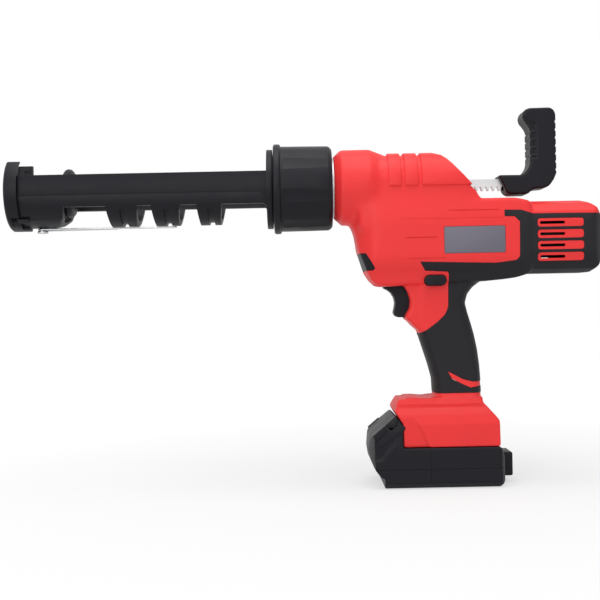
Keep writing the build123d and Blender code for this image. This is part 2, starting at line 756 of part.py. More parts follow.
# Rack pinion on its cross shaft, and the disc clutch beside it
gear_width = 8.0
wheel_low_y, wheel_high_y = -13.6, -8.6
shaft_end_y = gear_case_half_width - 0.2
with BuildPart() as rack_pinion:
    add(rod_y(shaft_x, pinion_z, -shaft_end_y, shaft_end_y, shaft_radius))
    add(gear(Plane.XZ.offset(-gear_width / 2), (shaft_x, pinion_z), gear_width,
             gear_points(rack_module, pinion_teeth, gear_clearance, pi / 2), 0))
keep(rack_pinion.part, "rack_pinion", steel)
clutch_travel = 1.0
keep(rod_y(shaft_x, pinion_z, wheel_high_y + clutch_travel + 0.3, -4.6, 14.0)
     - rod_y(shaft_x, pinion_z, -30, 30, shaft_radius + running_clearance),
     "clutch_plate", steel)
with BuildPart() as drive_wheel:
    add(gear(Plane.XZ.offset(-wheel_high_y), (shaft_x, pinion_z), wheel_high_y - wheel_low_y,
             gear_points(spur_module, wheel_teeth, gear_clearance, -pi / 2 + pi / wheel_teeth),
             0))
    add(rod_y(shaft_x, pinion_z, -case_inner + 0.3, wheel_low_y, 6.0))
    add(rod_y(shaft_x, pinion_z, -30, 30, shaft_radius + running_clearance),
        mode=Mode.SUBTRACT)
keep(drive_wheel.part, "drive_wheel", steel)

# Crown gear and idler pinion on the lower cross shaft
with BuildPart() as idler_shaft:
    add(rod_y(shaft_x, motor_z, -shaft_end_y, shaft_end_y, shaft_radius))
    add(gear(Plane.XZ.offset(-wheel_high_y), (shaft_x, motor_z), wheel_high_y - wheel_low_y,
             gear_points(spur_module, idler_teeth, gear_clearance, pi / 2), 0))
keep(idler_shaft.part, "idler_shaft", steel)
crown_pitch_radius = spur_module * crown_teeth / 2
crown_pinion_radius = spur_module * crown_pinion_teeth / 2
crown_root_y = crown_pinion_radius + 1.25 * spur_module
crown_tip_y = crown_pinion_radius - 0.8 * spur_module
with BuildPart() as crown_tooth:
    with BuildSketch(Plane.YZ.offset(crown_pitch_radius - 2.2)):
        with BuildLine():
            Polyline((crown_root_y + 0.2, 1.15), (crown_tip_y, 0.55), (crown_tip_y, -0.55),
                     (crown_root_y + 0.2, -1.15), close=True)
        make_face()
    extrude(amount=4.4)
with BuildPart() as crown_gear:
    add(rod_y(shaft_x, motor_z, crown_root_y, 13.6, crown_pitch_radius + 2.6))
    add(rod_y(shaft_x, motor_z, 13.6, case_inner - 0.3, 9.0))
    for tooth in range(crown_teeth):
        turn = 360 * (tooth + 0.5) / crown_teeth
        add(Pos(shaft_x, 0, motor_z) * Rot(0, turn, 0) * crown_tooth.part)
    add(rod_y(shaft_x, motor_z, -30, 30, shaft_radius), mode=Mode.SUBTRACT)
keep(crown_gear.part, "crown_gear", steel)

# Planet stage between the motor and the crown pinion
crown_pinion_x = shaft_x + crown_pitch_radius
planet_orbit = planet_module * (sun_teeth + planet_teeth) / 2
planet_front_x, planet_rear_x = 48.2, 56.0
planet_pin_radius = 1.8
carrier_front_x, carrier_rear_x = 44.0, 47.8
planet_angles = [pi / 2 + 2 * pi * number / planet_count for number in range(planet_count)]
with BuildPart() as carrier:
    add(gear(Plane.YZ.offset(crown_pinion_x - 2.0), (0, motor_z), 4.0,
             gear_points(spur_module, crown_pinion_teeth, gear_clearance), 0))
    add(rod_x(crown_pinion_x - 2.4, carrier_front_x, shaft_radius, motor_z))
    add(rod_x(carrier_front_x, carrier_rear_x, 17.2, motor_z))
    for angle in planet_angles:
        add(rod_x(carrier_rear_x, planet_rear_x + 0.8, planet_pin_radius,
                  motor_z + planet_orbit * sin(angle), planet_orbit * cos(angle)))
keep(carrier.part, "planet_carrier", steel)
for number, angle in enumerate(planet_angles, 1):
    centre = (planet_orbit * cos(angle), motor_z + planet_orbit * sin(angle))
    planet = gear(Plane.YZ.offset(planet_front_x), centre, planet_rear_x - planet_front_x,
                  gear_points(planet_module, planet_teeth, 0.15,
                              angle + pi + pi / planet_teeth),
                  planet_pin_radius + running_clearance)
    keep(planet, f"planet_gear_{number}", brass)
with BuildPart() as ring_gear:
    add(rod_x(38, motor_front_x - 0.3, ring_outer_radius, motor_z))
    add(rod_x(43.4, 47.9, 17.9, motor_z), mode=Mode.SUBTRACT)
    add(gear(Plane.YZ.offset(47.8), (0, motor_z), 20,
             gear_points(planet_module, ring_teeth, -0.15, pi / ring_teeth, 0.25, -0.1), 0),
        mode=Mode.SUBTRACT)
    add(rod_x(30, 45, bearing_radius, motor_z), mode=Mode.SUBTRACT)
keep(ring_gear.part, "ring_gear", steel)

# Motor
can_inner = motor_can_radius - 1.2
with BuildPart() as motor_can:
    add(rod_x(motor_front_x, can_rear_x, motor_can_radius, motor_z))
    add(rod_x(motor_front_x + 1.6, can_rear_x + 1, can_inner, motor_z), mode=Mode.SUBTRACT)
    add(rod_x(motor_front_x - 1, motor_front_x + 3, bush_radius, motor_z), mode=Mode.SUBTRACT)
keep(motor_can.part, "motor_can", steel)
with BuildPart() as end_bell:
    add(rod_x(can_rear_x, can_rear_x + 5, motor_can_radius - 0.4, motor_z))
    add(tube_x(can_rear_x - 4, can_rear_x, can_inner - 0.1, can_inner - 2.2, motor_z))
    add(rod_x(can_rear_x - 5, can_rear_x + 6, bush_radius, motor_z), mode=Mode.SUBTRACT)
keep(end_bell.part, "motor_end_bell", black)
magnet_ring = tube_x(magnet_front_x, magnet_rear_x, can_inner - fit, armature_radius + 0.8,
                     motor_z)
gap_slab = block(60, 110, -30, 30, motor_z - 5.5, motor_z + 5.5)
keep(magnet_ring - gap_slab, "motor_magnets", (0.2, 0.2, 0.22))
with BuildPart() as motor_shaft:
    add(rod_x(planet_front_x + 0.2, can_rear_x + 4.8, motor_shaft_radius, motor_z))
    add(gear(Plane.YZ.offset(planet_front_x + 0.2), (0, motor_z), 7.4,
             gear_points(planet_module, sun_teeth, 0.15), 0))
keep(motor_shaft.part, "motor_shaft", steel)
with BuildPart() as armature:
    add(tube_x(armature_front_x, armature_rear_x, armature_radius, motor_shaft_radius, motor_z))
    for slot in range(5):
        angle = 2 * pi * slot / 5
        add(rod_x(armature_front_x - 1, armature_rear_x + 1, 2.4,
                  motor_z + 9.6 * sin(angle), 9.6 * cos(angle)), mode=Mode.SUBTRACT)
keep(armature.part, "armature", steel)
winding_length = 3.5
winding_rings = [tube_x(x, x + winding_length, armature_radius - 2, motor_shaft_radius, motor_z)
                 for x in (armature_front_x - winding_length, armature_rear_x)]
keep(Compound(children=winding_rings), "armature_windings", copper)
keep(tube_x(103.2, 110, 5.0, motor_shaft_radius, motor_z), "commutator", copper)
brushes = [block(104, 109, y, y + 7, motor_z - 2, motor_z + 2) for y in (-12.1, 5.1)]
keep(Compound(children=brushes), "carbon_brushes", (0.15, 0.15, 0.16))
with BuildPart() as fan:
    add(tube_x(63.8, 65.0, 13.6, motor_shaft_radius, motor_z))
    for blade in range(8):
        turn = 360 * blade / 8
        add(Pos(0, 0, motor_z) * Rot(turn, 0, 0) * block(65.0, 68.4, -0.5, 0.5, 5, 13.2))
keep(fan.part, "cooling_fan", black)

# Trigger, its switch and the cross button
with BuildPart() as trigger:
    with BuildSketch(Plane.XZ.offset(trigger_half_width)):
        with BuildLine():
            Polyline((-46.4, 174.1), (-47.1, 175.0), (trigger_rear_x, trigger_high_z),
                     (trigger_rear_x, trigger_low_z), (-34.1, trigger_low_z))
            ThreePointArc((-34.1, trigger_low_z), (-37.5, 149.7), (-38.5, 153.0))
            ThreePointArc((-38.5, 153.0), (-37.2, 157), (-36.9, 161.1))
            ThreePointArc((-36.9, 161.1), (-39.6, 168.9), (-46.4, 174.1))
        make_face()
    extrude(amount=-2 * trigger_half_width)
    add(rod_x(trigger_rear_x, switch_front_x + 1, 3.0, spring_z))
keep(trigger.part, "trigger", black)
keep(tube_x(trigger_rear_x, switch_front_x, 4.6, 3.4, spring_z), "trigger_spring", steel)
with BuildPart() as switch_body:
    add(block(switch_front_x, 19, -9.3, 9.3, 150.6, 172.4))
    add(rod_x(switch_front_x - 1, switch_front_x + 9, 3.3, spring_z), mode=Mode.SUBTRACT)
keep(switch_body.part, "switch_body", black)
keep(oval_prism(0, -button_half_width, button_half_width), "cross_button", black)

# Base: contact block on the deck over the battery rails, and the control board on it
deck_top_z = deck_z + rib_thickness
with BuildPart() as terminal_block:
    add(block(blade_front_x - 2.5, blade_rear_x + 2.0, -13, 13, deck_top_z, deck_top_z + 4.6))
    for y in blade_y:
        add(block(blade_front_x, blade_rear_x, y - 0.4, y + 0.4, 43.0, deck_top_z))
keep(terminal_block.part, "terminal_block", brass)
keep(block(0.0, blade_rear_x + 2.0, -15, 15, deck_top_z + 4.7, deck_top_z + 6.3),
     "control_board", (0.1, 0.35, 0.2))

# Battery: a lower case, a cover with rails on top, and a head that fills the nose of the foot
battery_outline = [
    (-52.1, 0), (49.5, 0), (battery_rear_x, 4.5), (battery_rear_x, 26), (51.6, 31),
    (49.6, battery_top_z), (head_front_x, battery_top_z), (head_front_x, 54.9), (-38.5, 60.9),
    (-42.2, 64.4), (-63.8, 46.0), (-64.6, 32.9), (-62.7, 23.0), (-60.2, 17.0), (-55.6, 10.2),
    (-52.1, 6.2),
]
battery_section = [
    (33.5, 0), (battery_half_width, 4.5), (battery_half_width, 36), (36.0, 50), (31.0, 66),
]


def battery_form(inset):
    """The whole battery at one depth below its outer face."""
    section = section_prism(-70, 60, battery_section, 0, 0) if not inset else section_prism(
        -70, 60, moved_section(battery_section, inset), 0, 0)
    with BuildPart() as plan:
        with BuildSketch(Plane.XY.offset(-1)):
            with BuildLine():
                ThreePointArc((-58.9 + inset, -39), (-65.2 + inset, 0), (-58.9 + inset, 39))
                Polyline((-58.9 + inset, 39), (49.5 - inset, 39), (battery_rear_x - inset, 33),
                         (battery_rear_x - inset, -33), (49.5 - inset, -39),
                         (-58.9 + inset, -39))
            make_face()
        extrude(amount=90)
    return section & side_prism(battery_outline, cut_half, -inset) & plan.part


def moved_section(half_points, inset):
    """A half section drawn in by inset, its lower edge lifted by the same."""
    return [(y - inset, z + (inset if z < 1 else 0)) for y, z in half_points]


battery_shell = battery_form(0) - battery_form(battery_wall)
with BuildPart() as rail_block:
    add(block(head_front_x - 0.1, rail_rear_x, -rail_half_width, rail_half_width,
              battery_top_z - battery_wall, rail_top_z))
    for side in (-1, 1):
        groove_y = sorted((side * (rail_half_width - 3.4), side * (rail_half_width + 1)))
        add(block(head_front_x, rail_rear_x + 1, groove_y[0], groove_y[1],
                  tongue_low_z - battery_clearance, tongue_high_z + battery_clearance),
            mode=Mode.SUBTRACT)
battery_shell = battery_shell + rail_block.part
battery_shell = battery_shell - block(head_front_x + 2.4, rail_rear_x - 2.4, -21.4, 21.4,
                                      20, rail_top_z - 3.1)
for y in blade_y:
    battery_shell = battery_shell - block(blade_front_x - 1, rail_rear_x + 1, y - 0.9, y + 0.9,
                                          41.8, rail_top_z + 1)
latch_outline = [(-62.0, 47.8), (-58.7, 40.0), (-47.8, 51.0), (-53.4, 56.6)]
latch_travel = 2.5
latch_face_y = 36.9
latch_root_y = 32.8
pocket_floor_y = latch_root_y - latch_travel - 0.4
latch_pockets = side_prism(latch_outline, cut_half, battery_clearance) - block(
    -90, 0, -pocket_floor_y, pocket_floor_y, 0, 90)
battery_shell = battery_shell - latch_pockets
latch_spring_x, latch_spring_z = -54.0, 47.6
latch_spring_radius = 2.0
spring_root_y = 20.0
for side in (-1, 1):
    rib_y = sorted((side * (spring_root_y - 2), side * spring_root_y))
    battery_shell = battery_shell + (
        block(-62, -49, rib_y[0], rib_y[1], 30, 62) & battery_form(battery_wall - 0.3))
keep(battery_shell & block(-80, 80, -cut_half, cut_half, -1, battery_seam_z),
     "battery_case", black)
keep(battery_shell & block(-80, 80, -cut_half, cut_half, battery_seam_z, 90),
     "battery_cover", black)
for side, hand in ((-1, "left"), (1, "right")):
    latch_y = sorted((side * latch_root_y, side * latch_face_y))
    keep(side_prism(latch_outline, cut_half) & block(-80, 80, latch_y[0], latch_y[1], 0, 90),
         f"battery_latch_{hand}", black)
    spring_y = sorted((side * spring_root_y, side * latch_root_y))
    keep(rod_y(latch_spring_x, latch_spring_z, spring_y[0], spring_y[1], latch_spring_radius)
         - rod_y(latch_spring_x, latch_spring_z, -40, 40, latch_spring_radius - 0.6),
         f"latch_spring_{hand}", steel)
keep(block(battery_rear_x, 64.0, -14, 14, 6.0, 27.0), "battery_gauge", black)
cell_pitch = 19.4
first_cell_x = -40.2
cell_z = battery_wall + cell_radius + 1.2
cells = []
for number in range(cell_count):
    cell_x = first_cell_x + number * cell_pitch
    cells.append(rod_y(cell_x, cell_z, -cell_length / 2, cell_length / 2, cell_radius))
keep(Compound(children=cells), "battery_cells", (0.2, 0.5, 0.35))
board_z = cell_z + cell_radius + 0.4
with BuildPart() as battery_board:
    add(block(-42, 42, -24, 24, board_z, board_z + 1.6))
    for y in blade_y:
        for clip_y in (y - 0.9, y + 0.9):
            add(block(blade_front_x, blade_rear_x + 1, clip_y - 0.2, clip_y + 0.2,
                      board_z + 1.6, rail_top_z - 3.4))
keep(battery_board.part, "battery_board", (0.1, 0.35, 0.2))

# Collar: the fluted nut that clamps the cradle to the gear case
bead_x = collar_front_x + 6.3
lip_rear_x = collar_front_x + 6.0
flute_radius = 14.0
flute_depth = 1.3
first_flute = 0.124
with BuildPart() as collar:
    add(lathe([
        (collar_front_x, collar_lip_radius), (collar_front_x, collar_bead_radius - 1.4),
        (collar_front_x + 1.4, collar_bead_radius), (bead_x - 1.4, collar_bead_radius),
        (bead_x, collar_bead_radius - 1.4), (bead_x, collar_radius + 0.2),
        (collar_rear_x - 3.5, collar_radius - 0.4), (collar_rear_x - 1, collar_radius - 1.6),
        (collar_rear_x, collar_radius - 4), (collar_rear_x, thread_radius + thread_clearance),
        (lip_rear_x, thread_radius + thread_clearance), (lip_rear_x, collar_lip_radius),
    ]))
    for flute in range(collar_flutes):
        angle = 2 * pi * (flute + first_flute) / collar_flutes
        reach = collar_radius + flute_radius - flute_depth
        add(rod_x(bead_x + 2.4, collar_rear_x - 2.2, flute_radius, axis_z + reach * sin(angle),
                  reach * cos(angle)), mode=Mode.SUBTRACT)
keep(collar.part, "collar", black)

# Cradle: an open trough for the cartridge, with three bands under its side rails
trough_outer = trough_radius + trough_wall
trough_top_z = axis_z + trough_top_rise
rail_low_z = axis_z - rail_drop
bulkhead_rear_x = cradle_rear_x + bulkhead_thickness
cradle_end_x = nose_front_x - 0.4
neck_radius = collar_lip_radius - thread_clearance


def band_edges(number):
    """Front and rear of a band where it leaves the rail."""
    centre = first_band_x + number * band_pitch
    half = 15.5 - 1.5 * number
    return centre - half, centre + half


wire_pivot_x = -352.0
wire_screw_radius = 2.2
ear_front_x, ear_rear_x, ear_top_z, ear_thickness = -364.8, -353.4, 287.1, 4.2
window_low_z = 225.0
band_taper = 3.4
band_relief_half = 2.6
window_outlines = []
previous_top, previous_low = -317.5, -344.0
for number in range(band_count):
    front, rear = band_edges(number)
    window_outlines.append([(previous_top, rail_low_z), (front, rail_low_z),
                            (front + band_taper, window_low_z), (previous_low, window_low_z)])
    previous_top, previous_low = rear, rear - band_taper
window_outlines.append([(previous_top, rail_low_z), (cradle_rear_x - 2.5, rail_low_z),
                        (cradle_rear_x - 0.01, rail_low_z - 3), (cradle_rear_x - 0.01,
                        window_low_z), (previous_low, window_low_z)])
with BuildPart() as cradle:
    with BuildSketch(Plane.YZ.offset(cradle_front_x)):
        with Locations((0, axis_z)):
            Circle(band_radius)
            Rectangle(2 * trough_outer, 4 * band_radius, mode=Mode.INTERSECT)
        with Locations((0, axis_z + trough_top_rise / 2)):
            Rectangle(2 * trough_outer, trough_top_rise)
        with Locations((0, trough_top_z + 20)):
            Rectangle(90, 40, mode=Mode.SUBTRACT)
        with Locations((0, axis_z)):
            Circle(trough_radius, mode=Mode.SUBTRACT)
        with Locations((0, axis_z + 20)):
            Rectangle(2 * trough_radius, 40, mode=Mode.SUBTRACT)
    extrude(amount=cradle_rear_x - cradle_front_x)
    for outline in window_outlines:
        add(side_prism(outline, cut_half), mode=Mode.SUBTRACT)
    for number in range(band_count):
        front, rear = band_edges(number)
        middle = (front + rear) / 2
        add(tube_x(middle - band_relief_half, middle + band_relief_half, 40, trough_outer + 0.5)
            & block(-far, 0, -cut_half, cut_half, 200, rail_low_z), mode=Mode.SUBTRACT)
    for side in (-1, 1):
        edge = sorted((side * (trough_outer - 0.5), side * (trough_outer + 5)))
        groove_z = axis_z - rail_groove_drop
        add(block(cradle_front_x + 3, cradle_rear_x - 6, edge[0], edge[1],
                  groove_z - rail_groove_half, groove_z + rail_groove_half),
            mode=Mode.SUBTRACT)
    add(rod_x(cradle_rear_x, bulkhead_rear_x, bulkhead_radius))
    add(rod_x(bulkhead_rear_x, cradle_end_x, neck_radius))
    add(rod_x(lip_rear_x + 0.5, cradle_end_x, thread_radius))
    add(rod_x(bulkhead_rear_x, -130, trough_radius), mode=Mode.SUBTRACT)
    add(rod_x(cradle_rear_x - 1, -130, 11.4), mode=Mode.SUBTRACT)
    ear = block(ear_front_x, ear_rear_x, -trough_outer, -trough_outer + ear_thickness,
                trough_top_z - 2, ear_top_z)
    add(ear - block(ear_front_x + 4.6, ear_rear_x - 1.6, -cut_half, 0, trough_top_z + 0.6,
                    trough_top_z + 3.4))
    add(tube_x(cradle_front_x - 1.5, cradle_front_x + 3, 40, band_radius), mode=Mode.SUBTRACT)
    for side in (-1, 1):
        lug_y = sorted((side * 17.5, side * 28.0))
        add(tube_x(cradle_front_x, cradle_front_x + 10.5, 32.6, 30)
            & block(-far, 0, lug_y[0], lug_y[1], 231, 241.4))
    with Locations((wire_pivot_x, 0, 230)):
        Cylinder(wire_screw_radius, 30, mode=Mode.SUBTRACT)
keep(cradle.part, "cradle", black)
blade_root_y = ear_thickness - trough_outer
keep(block(ear_front_x + 2.4, ear_rear_x - 0.8, blade_root_y, blade_root_y + 0.8,
           trough_top_z - 2, ear_top_z - 1.1), "cutter_blade", steel)

# Front plate: a cap with an open topped slot for the cartridge's nozzle
plate_front_x = -378.8
plate_rear_x = plate_front_x + front_plate_depth
plate_bore = band_radius + 0.25
plate_top_z = axis_z + 27.1
with BuildPart() as front_plate:
    add(lathe([(plate_front_x, 0), (plate_front_x, front_plate_radius - 1.6),
               (plate_front_x + 1.6, front_plate_radius), (plate_rear_x, front_plate_radius),
               (plate_rear_x, plate_bore), (plate_front_x + front_plate_face, plate_bore),
               (plate_front_x + front_plate_face, 0)]))
    add(tube_x(plate_rear_x - 0.1, plate_rear_x + 4.2, front_plate_radius, plate_bore)
        & block(-far, 0, -8, 8, 200, axis_z))
    add(block(-far, 0, -nozzle_radius, nozzle_radius, axis_z, 320), mode=Mode.SUBTRACT)
    add(rod_x(-far, 0, nozzle_radius), mode=Mode.SUBTRACT)
    add(block(-far, 0, -cut_half, cut_half, plate_top_z, 320), mode=Mode.SUBTRACT)
    for side in (-1, 1):
        window_y = sorted((side * 15.5, side * 40.0))
        add(block(plate_front_x + 4.2, 0, window_y[0], window_y[1], 229.5, 242.4),
            mode=Mode.SUBTRACT)
keep(front_plate.part, "front_plate", black)

# Piercing wire: it turns on a screw under the cradle and folds back along it
wire_radius = 0.8
wire_z = axis_z - band_radius - 0.5 - wire_radius
eye_radius = 3.5
wire_end_x = -231.0
with BuildPart() as wire:
    with BuildLine():
        Line((wire_end_x, -eye_radius, wire_z), (wire_pivot_x, -eye_radius, wire_z))
        ThreePointArc((wire_pivot_x, -eye_radius, wire_z), (wire_pivot_x - eye_radius, 0, wire_z),
                      (wire_pivot_x, eye_radius, wire_z))
        ThreePointArc((wire_pivot_x, eye_radius, wire_z),
                      (wire_pivot_x + eye_radius * cos(pi / 4),
                       eye_radius * sin(pi / 4), wire_z),
                      (wire_pivot_x + eye_radius, 0, wire_z))
    with BuildSketch(Plane.YZ.offset(wire_end_x)):
        with Locations((-eye_radius, wire_z)):
            Circle(wire_radius)
    sweep()
keep(wire.part, "piercing_wire", steel)
screw_z = wire_z - wire_radius - 0.3
with BuildPart() as wire_screw:
    with BuildSketch(Plane.XY.offset(screw_z - 2.2)):
        with Locations((wire_pivot_x, 0)):
            Circle(4.8)
    extrude(amount=2.2)
    with BuildSketch(Plane.XY.offset(screw_z)):
        with Locations((wire_pivot_x, 0)):
            Circle(wire_screw_radius)
    extrude(amount=8.0)
keep(wire_screw.part, "wire_screw", steel)
print(len(finished), "pieces")
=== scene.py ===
from math import atan, cos, pi, radians, sin

import bpy
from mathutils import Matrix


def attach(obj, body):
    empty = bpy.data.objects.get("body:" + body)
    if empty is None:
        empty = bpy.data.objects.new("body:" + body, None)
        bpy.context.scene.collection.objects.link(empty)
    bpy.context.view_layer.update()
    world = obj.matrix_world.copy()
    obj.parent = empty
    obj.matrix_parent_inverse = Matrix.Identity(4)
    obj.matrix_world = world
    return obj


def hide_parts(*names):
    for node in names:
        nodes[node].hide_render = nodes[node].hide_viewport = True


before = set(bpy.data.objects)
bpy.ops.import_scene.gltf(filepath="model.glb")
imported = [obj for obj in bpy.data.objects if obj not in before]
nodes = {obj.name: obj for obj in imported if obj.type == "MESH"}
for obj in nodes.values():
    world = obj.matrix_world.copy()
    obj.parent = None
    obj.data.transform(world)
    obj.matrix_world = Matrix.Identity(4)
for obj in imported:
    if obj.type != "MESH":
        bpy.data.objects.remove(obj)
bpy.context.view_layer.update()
bpy.ops.object.select_all(action="DESELECT")
mm = 0.001


# Housing: the red ABS shell of the tool, moulded in two halves that meet in the middle plane
# and are screwed together round the gear case and the motor. It runs from the round mouth behind
# the collar over the head, the body and the motor room down the grip to the foot.
def surface(name, colour, rough, metal=0.0, grain=2000, height=0.00003, mottle=0.08,
            stretch=(1, 1, 1), shine=0.5):
    """A moulded, painted or metal surface with fine grain and slightly uneven colour."""
    material = bpy.data.materials.new(name)
    material.use_nodes = True
    tree = material.node_tree
    shader = tree.nodes["Principled BSDF"]
    shader.inputs["Metallic"].default_value = metal
    shader.inputs["Specular IOR Level"].default_value = shine
    place = tree.nodes.new("ShaderNodeTexCoord")
    mapping = tree.nodes.new("ShaderNodeMapping")
    mapping.inputs["Scale"].default_value = stretch
    tree.links.new(place.outputs["Object"], mapping.inputs["Vector"])
    fine = tree.nodes.new("ShaderNodeTexNoise")
    fine.inputs["Scale"].default_value = grain
    fine.inputs["Detail"].default_value = 3.0
    broad = tree.nodes.new("ShaderNodeTexNoise")
    broad.inputs["Scale"].default_value = 38.0
    broad.inputs["Detail"].default_value = 5.0
    for noise in (fine, broad):
        tree.links.new(mapping.outputs["Vector"], noise.inputs["Vector"])
    ranges = []
    for low, high in ((1.0 - mottle, 1.0 + mottle), (rough - 0.06, rough + 0.06)):
        spread = tree.nodes.new("ShaderNodeMapRange")
        spread.inputs["From Min"].default_value = 0.3
        spread.inputs["From Max"].default_value = 0.7
        spread.inputs["To Min"].default_value = low
        spread.inputs["To Max"].default_value = high
        tree.links.new(broad.outputs["Fac"], spread.inputs["Value"])
        ranges.append(spread.outputs["Result"])
    shade = tree.nodes.new("ShaderNodeVectorMath")
    shade.operation = "SCALE"
    shade.inputs[0].default_value = colour
    tree.links.new(ranges[0], shade.inputs["Scale"])
    tree.links.new(shade.outputs["Vector"], shader.inputs["Base Color"])
    tree.links.new(ranges[1], shader.inputs["Roughness"])
    bump = tree.nodes.new("ShaderNodeBump")
    bump.inputs["Distance"].default_value = height
    tree.links.new(fine.outputs["Fac"], bump.inputs["Height"])
    tree.links.new(bump.outputs["Normal"], shader.inputs["Normal"])
    return material


def pick(form):
    """Select one form alone and make it the active one."""
    bpy.ops.object.select_all(action="DESELECT")
    form.select_set(True)
    bpy.context.view_layer.objects.active = form


def drawn(name, corners, fill="NGON"):
    """A circle with as many points as the outline, set on its corners and left in edit mode."""
    bpy.ops.mesh.primitive_circle_add(vertices=len(corners), fill_type=fill)
    form = bpy.context.object
    form.name = name
    for point, corner in zip(form.data.vertices, corners):
        point.co = [value * mm for value in corner]
    bpy.ops.object.mode_set(mode="EDIT")
    bpy.ops.mesh.select_all(action="SELECT")
    return form


def closed(form):
    """Leave edit mode with every face of the form pointing outwards."""
    bpy.ops.mesh.select_all(action="SELECT")
    bpy.ops.mesh.remove_doubles(threshold=0.000001)
    bpy.ops.mesh.normals_make_consistent(inside=False)
    bpy.ops.object.mode_set(mode="OBJECT")
    return form


axis_z = 265.3


def turned(name, profile, steps=96):
    """A closed profile of (x, radius) points, spun about the barrel line."""
    form = drawn(name, [(x, 0, axis_z + radius) for x, radius in profile], "NOTHING")
    bpy.ops.mesh.spin(steps=steps, angle=2 * pi, center=(0, 0, axis_z * mm), axis=(1, 0, 0))
    return closed(form)


def prism(name, corners, push, rounding=0.0, segments=4):
    """A flat outline with its corners rounded, extruded by the push."""
    form = drawn(name, corners)
    if rounding:
        bpy.ops.mesh.bevel(affect="VERTICES", offset=rounding * mm, segments=segments)
        bpy.ops.mesh.select_all(action="SELECT")
    bpy.ops.mesh.extrude_region_move(
        TRANSFORM_OT_translate={"value": [value * mm for value in push]})
    return closed(form)


def side_form(name, outline, y_low, y_high, rounding=0.0, segments=4):
    """An outline of the side view, taken from y_low to y_high."""
    return prism(name, [(x, y_low, z) for x, z in outline], (0, y_high - y_low, 0), rounding,
                 segments)


def section_form(name, half_outline, x_low, x_high, rounding=0.0):
    """A cross section, given for one side from the bottom up, taken from x_low to x_high."""
    outline = half_outline + [(-y, z) for y, z in reversed(half_outline)]
    return prism(name, [(x_low, y, z) for y, z in outline], (x_high - x_low, 0, 0), rounding)


def plan_form(name, outline, z_low, z_high):
    """An outline of the plan view, taken from z_low to z_high."""
    return prism(name, [(x, y, z_low) for x, y in outline], (0, 0, z_high - z_low))


def combine(form, other, operation):
    """Join, cut or clip one form with another, which is used up."""
    pick(form)
    change = form.modifiers.new("combine", "BOOLEAN")
    change.operation = operation
    change.object = other
    change.solver = "EXACT"
    bpy.ops.object.modifier_apply(modifier=change.name)
    bpy.data.objects.remove(other, do_unlink=True)
    return form


def round_edges(form, width, segments=3, angle=30):
    """Bevel the edges that are sharper than the angle."""
    pick(form)
    edge = form.modifiers.new("edges", "BEVEL")
    edge.width = width * mm
    edge.segments = segments
    edge.limit_method = "ANGLE"
    edge.angle_limit = radians(angle)
    bpy.ops.object.modifier_apply(modifier=edge.name)
    return form


def soften(form, size, steps):
    """Turn a form into an even fine skin and round its edges."""
    pick(form)
    skin = form.modifiers.new("skin", "REMESH")
    skin.mode = "VOXEL"
    skin.voxel_size = size * mm
    bpy.ops.object.modifier_apply(modifier=skin.name)
    ease = form.modifiers.new("ease", "SMOOTH")
    ease.factor = 0.5
    ease.iterations = steps
    bpy.ops.object.modifier_apply(modifier=ease.name)
    return form


red = surface("red_shell", (0.80, 0.032, 0.033), 0.50, grain=2600, height=0.000012, mottle=0.03,
              shine=0.30)
reach = 60
shell = turned("shell", [(-90.2, 0), (-90.2, 27.5), (-83.3, 33.8), (-58.0, 33.9), (-44.7, 28.6),
                         (-40, 0)])

# The head over the rod has a rounded roof and a sloping back
head_half = [(30.5, 225), (30.5, 271.3), (26.9, 281.3), (19.5, 289.1), (9.5, 292.5)]
head_outline = [
    (-70, 245.3), (-66, 293.9), (-58, 295.3), (-44.7, 292.5), (-2.5, 292.5), (3.8, 289.6),
    (8.2, 286.2), (16.5, 276.9), (24.6, 267.2), (33.7, 257.6), (42, 244), (42, 225), (-70, 225),
]
head = section_form("head", head_half, -69.5, 45.5, 3.0)
combine(head, side_form("head_clip", head_outline, -reach, reach), "INTERSECT")

# The body holds the gears, and its nose is curved in the plan view
body_half = [(14, 172), (24.5, 177), (26.5, 186), (31.6, 193), (34, 200), (34, 231), (33.3, 239),
             (31.8, 247), (30.8, 255), (30.5, 263)]
body_outline = [
    (-79, 236), (-76.2, 230.6), (-73.6, 226.6), (-71.8, 220.0), (-70.3, 209.5), (-69.0, 205.2),
    (-63.5, 189.0), (-59.1, 181.6), (-53.8, 176.2), (-47.5, 175.6), (45.7, 179.6), (58.3, 180.6),
    (69.3, 182.0), (79.1, 184.9), (81.5, 186), (81.3, 248.4), (72.4, 250.6), (67.4, 251.6),
    (36, 251.6), (16, 262), (-60, 262),
]
nose_plan = [(-79.0 + 24.0 * (y / 36.0) ** 2, y) for y in range(-36, 37, 6)] + [
    (90, 36), (90, -36)]
body = section_form("body", body_half, -79.5, 82, 2.0)
combine(body, side_form("body_clip", body_outline, -reach, reach), "INTERSECT")
combine(body, plan_form("nose_clip", nose_plan, 160, 280), "INTERSECT")

# The motor room ends in a flat rear with rounded corners
motor_half = [(16, 185.4), (25, 188.6), (31, 195.2), (33, 203), (33, 231), (31, 239), (25, 245.6),
              (16, 248.8)]
motor_outline = [
    (60, 185.4), (134.5, 185.4), (139.6, 190.3), (142.2, 195.0), (144.0, 209.6), (145, 221),
    (144.8, 230), (143.0, 237.4), (138.8, 242.6), (133.0, 246.8), (127, 248.8), (60, 248.8),
]
motor_plan = [(60, -34), (131, -34), (137.5, -31), (142.5, -25), (145.2, -16), (145.2, 16),
              (142.5, 25), (137.5, 31), (131, 34), (60, 34)]
motor_room = section_form("motor_room", motor_half, 62, 152)
combine(motor_room, side_form("motor_clip", motor_outline, -reach, reach), "INTERSECT")
combine(motor_room, plan_form("motor_plan", motor_plan, 170, 260), "INTERSECT")

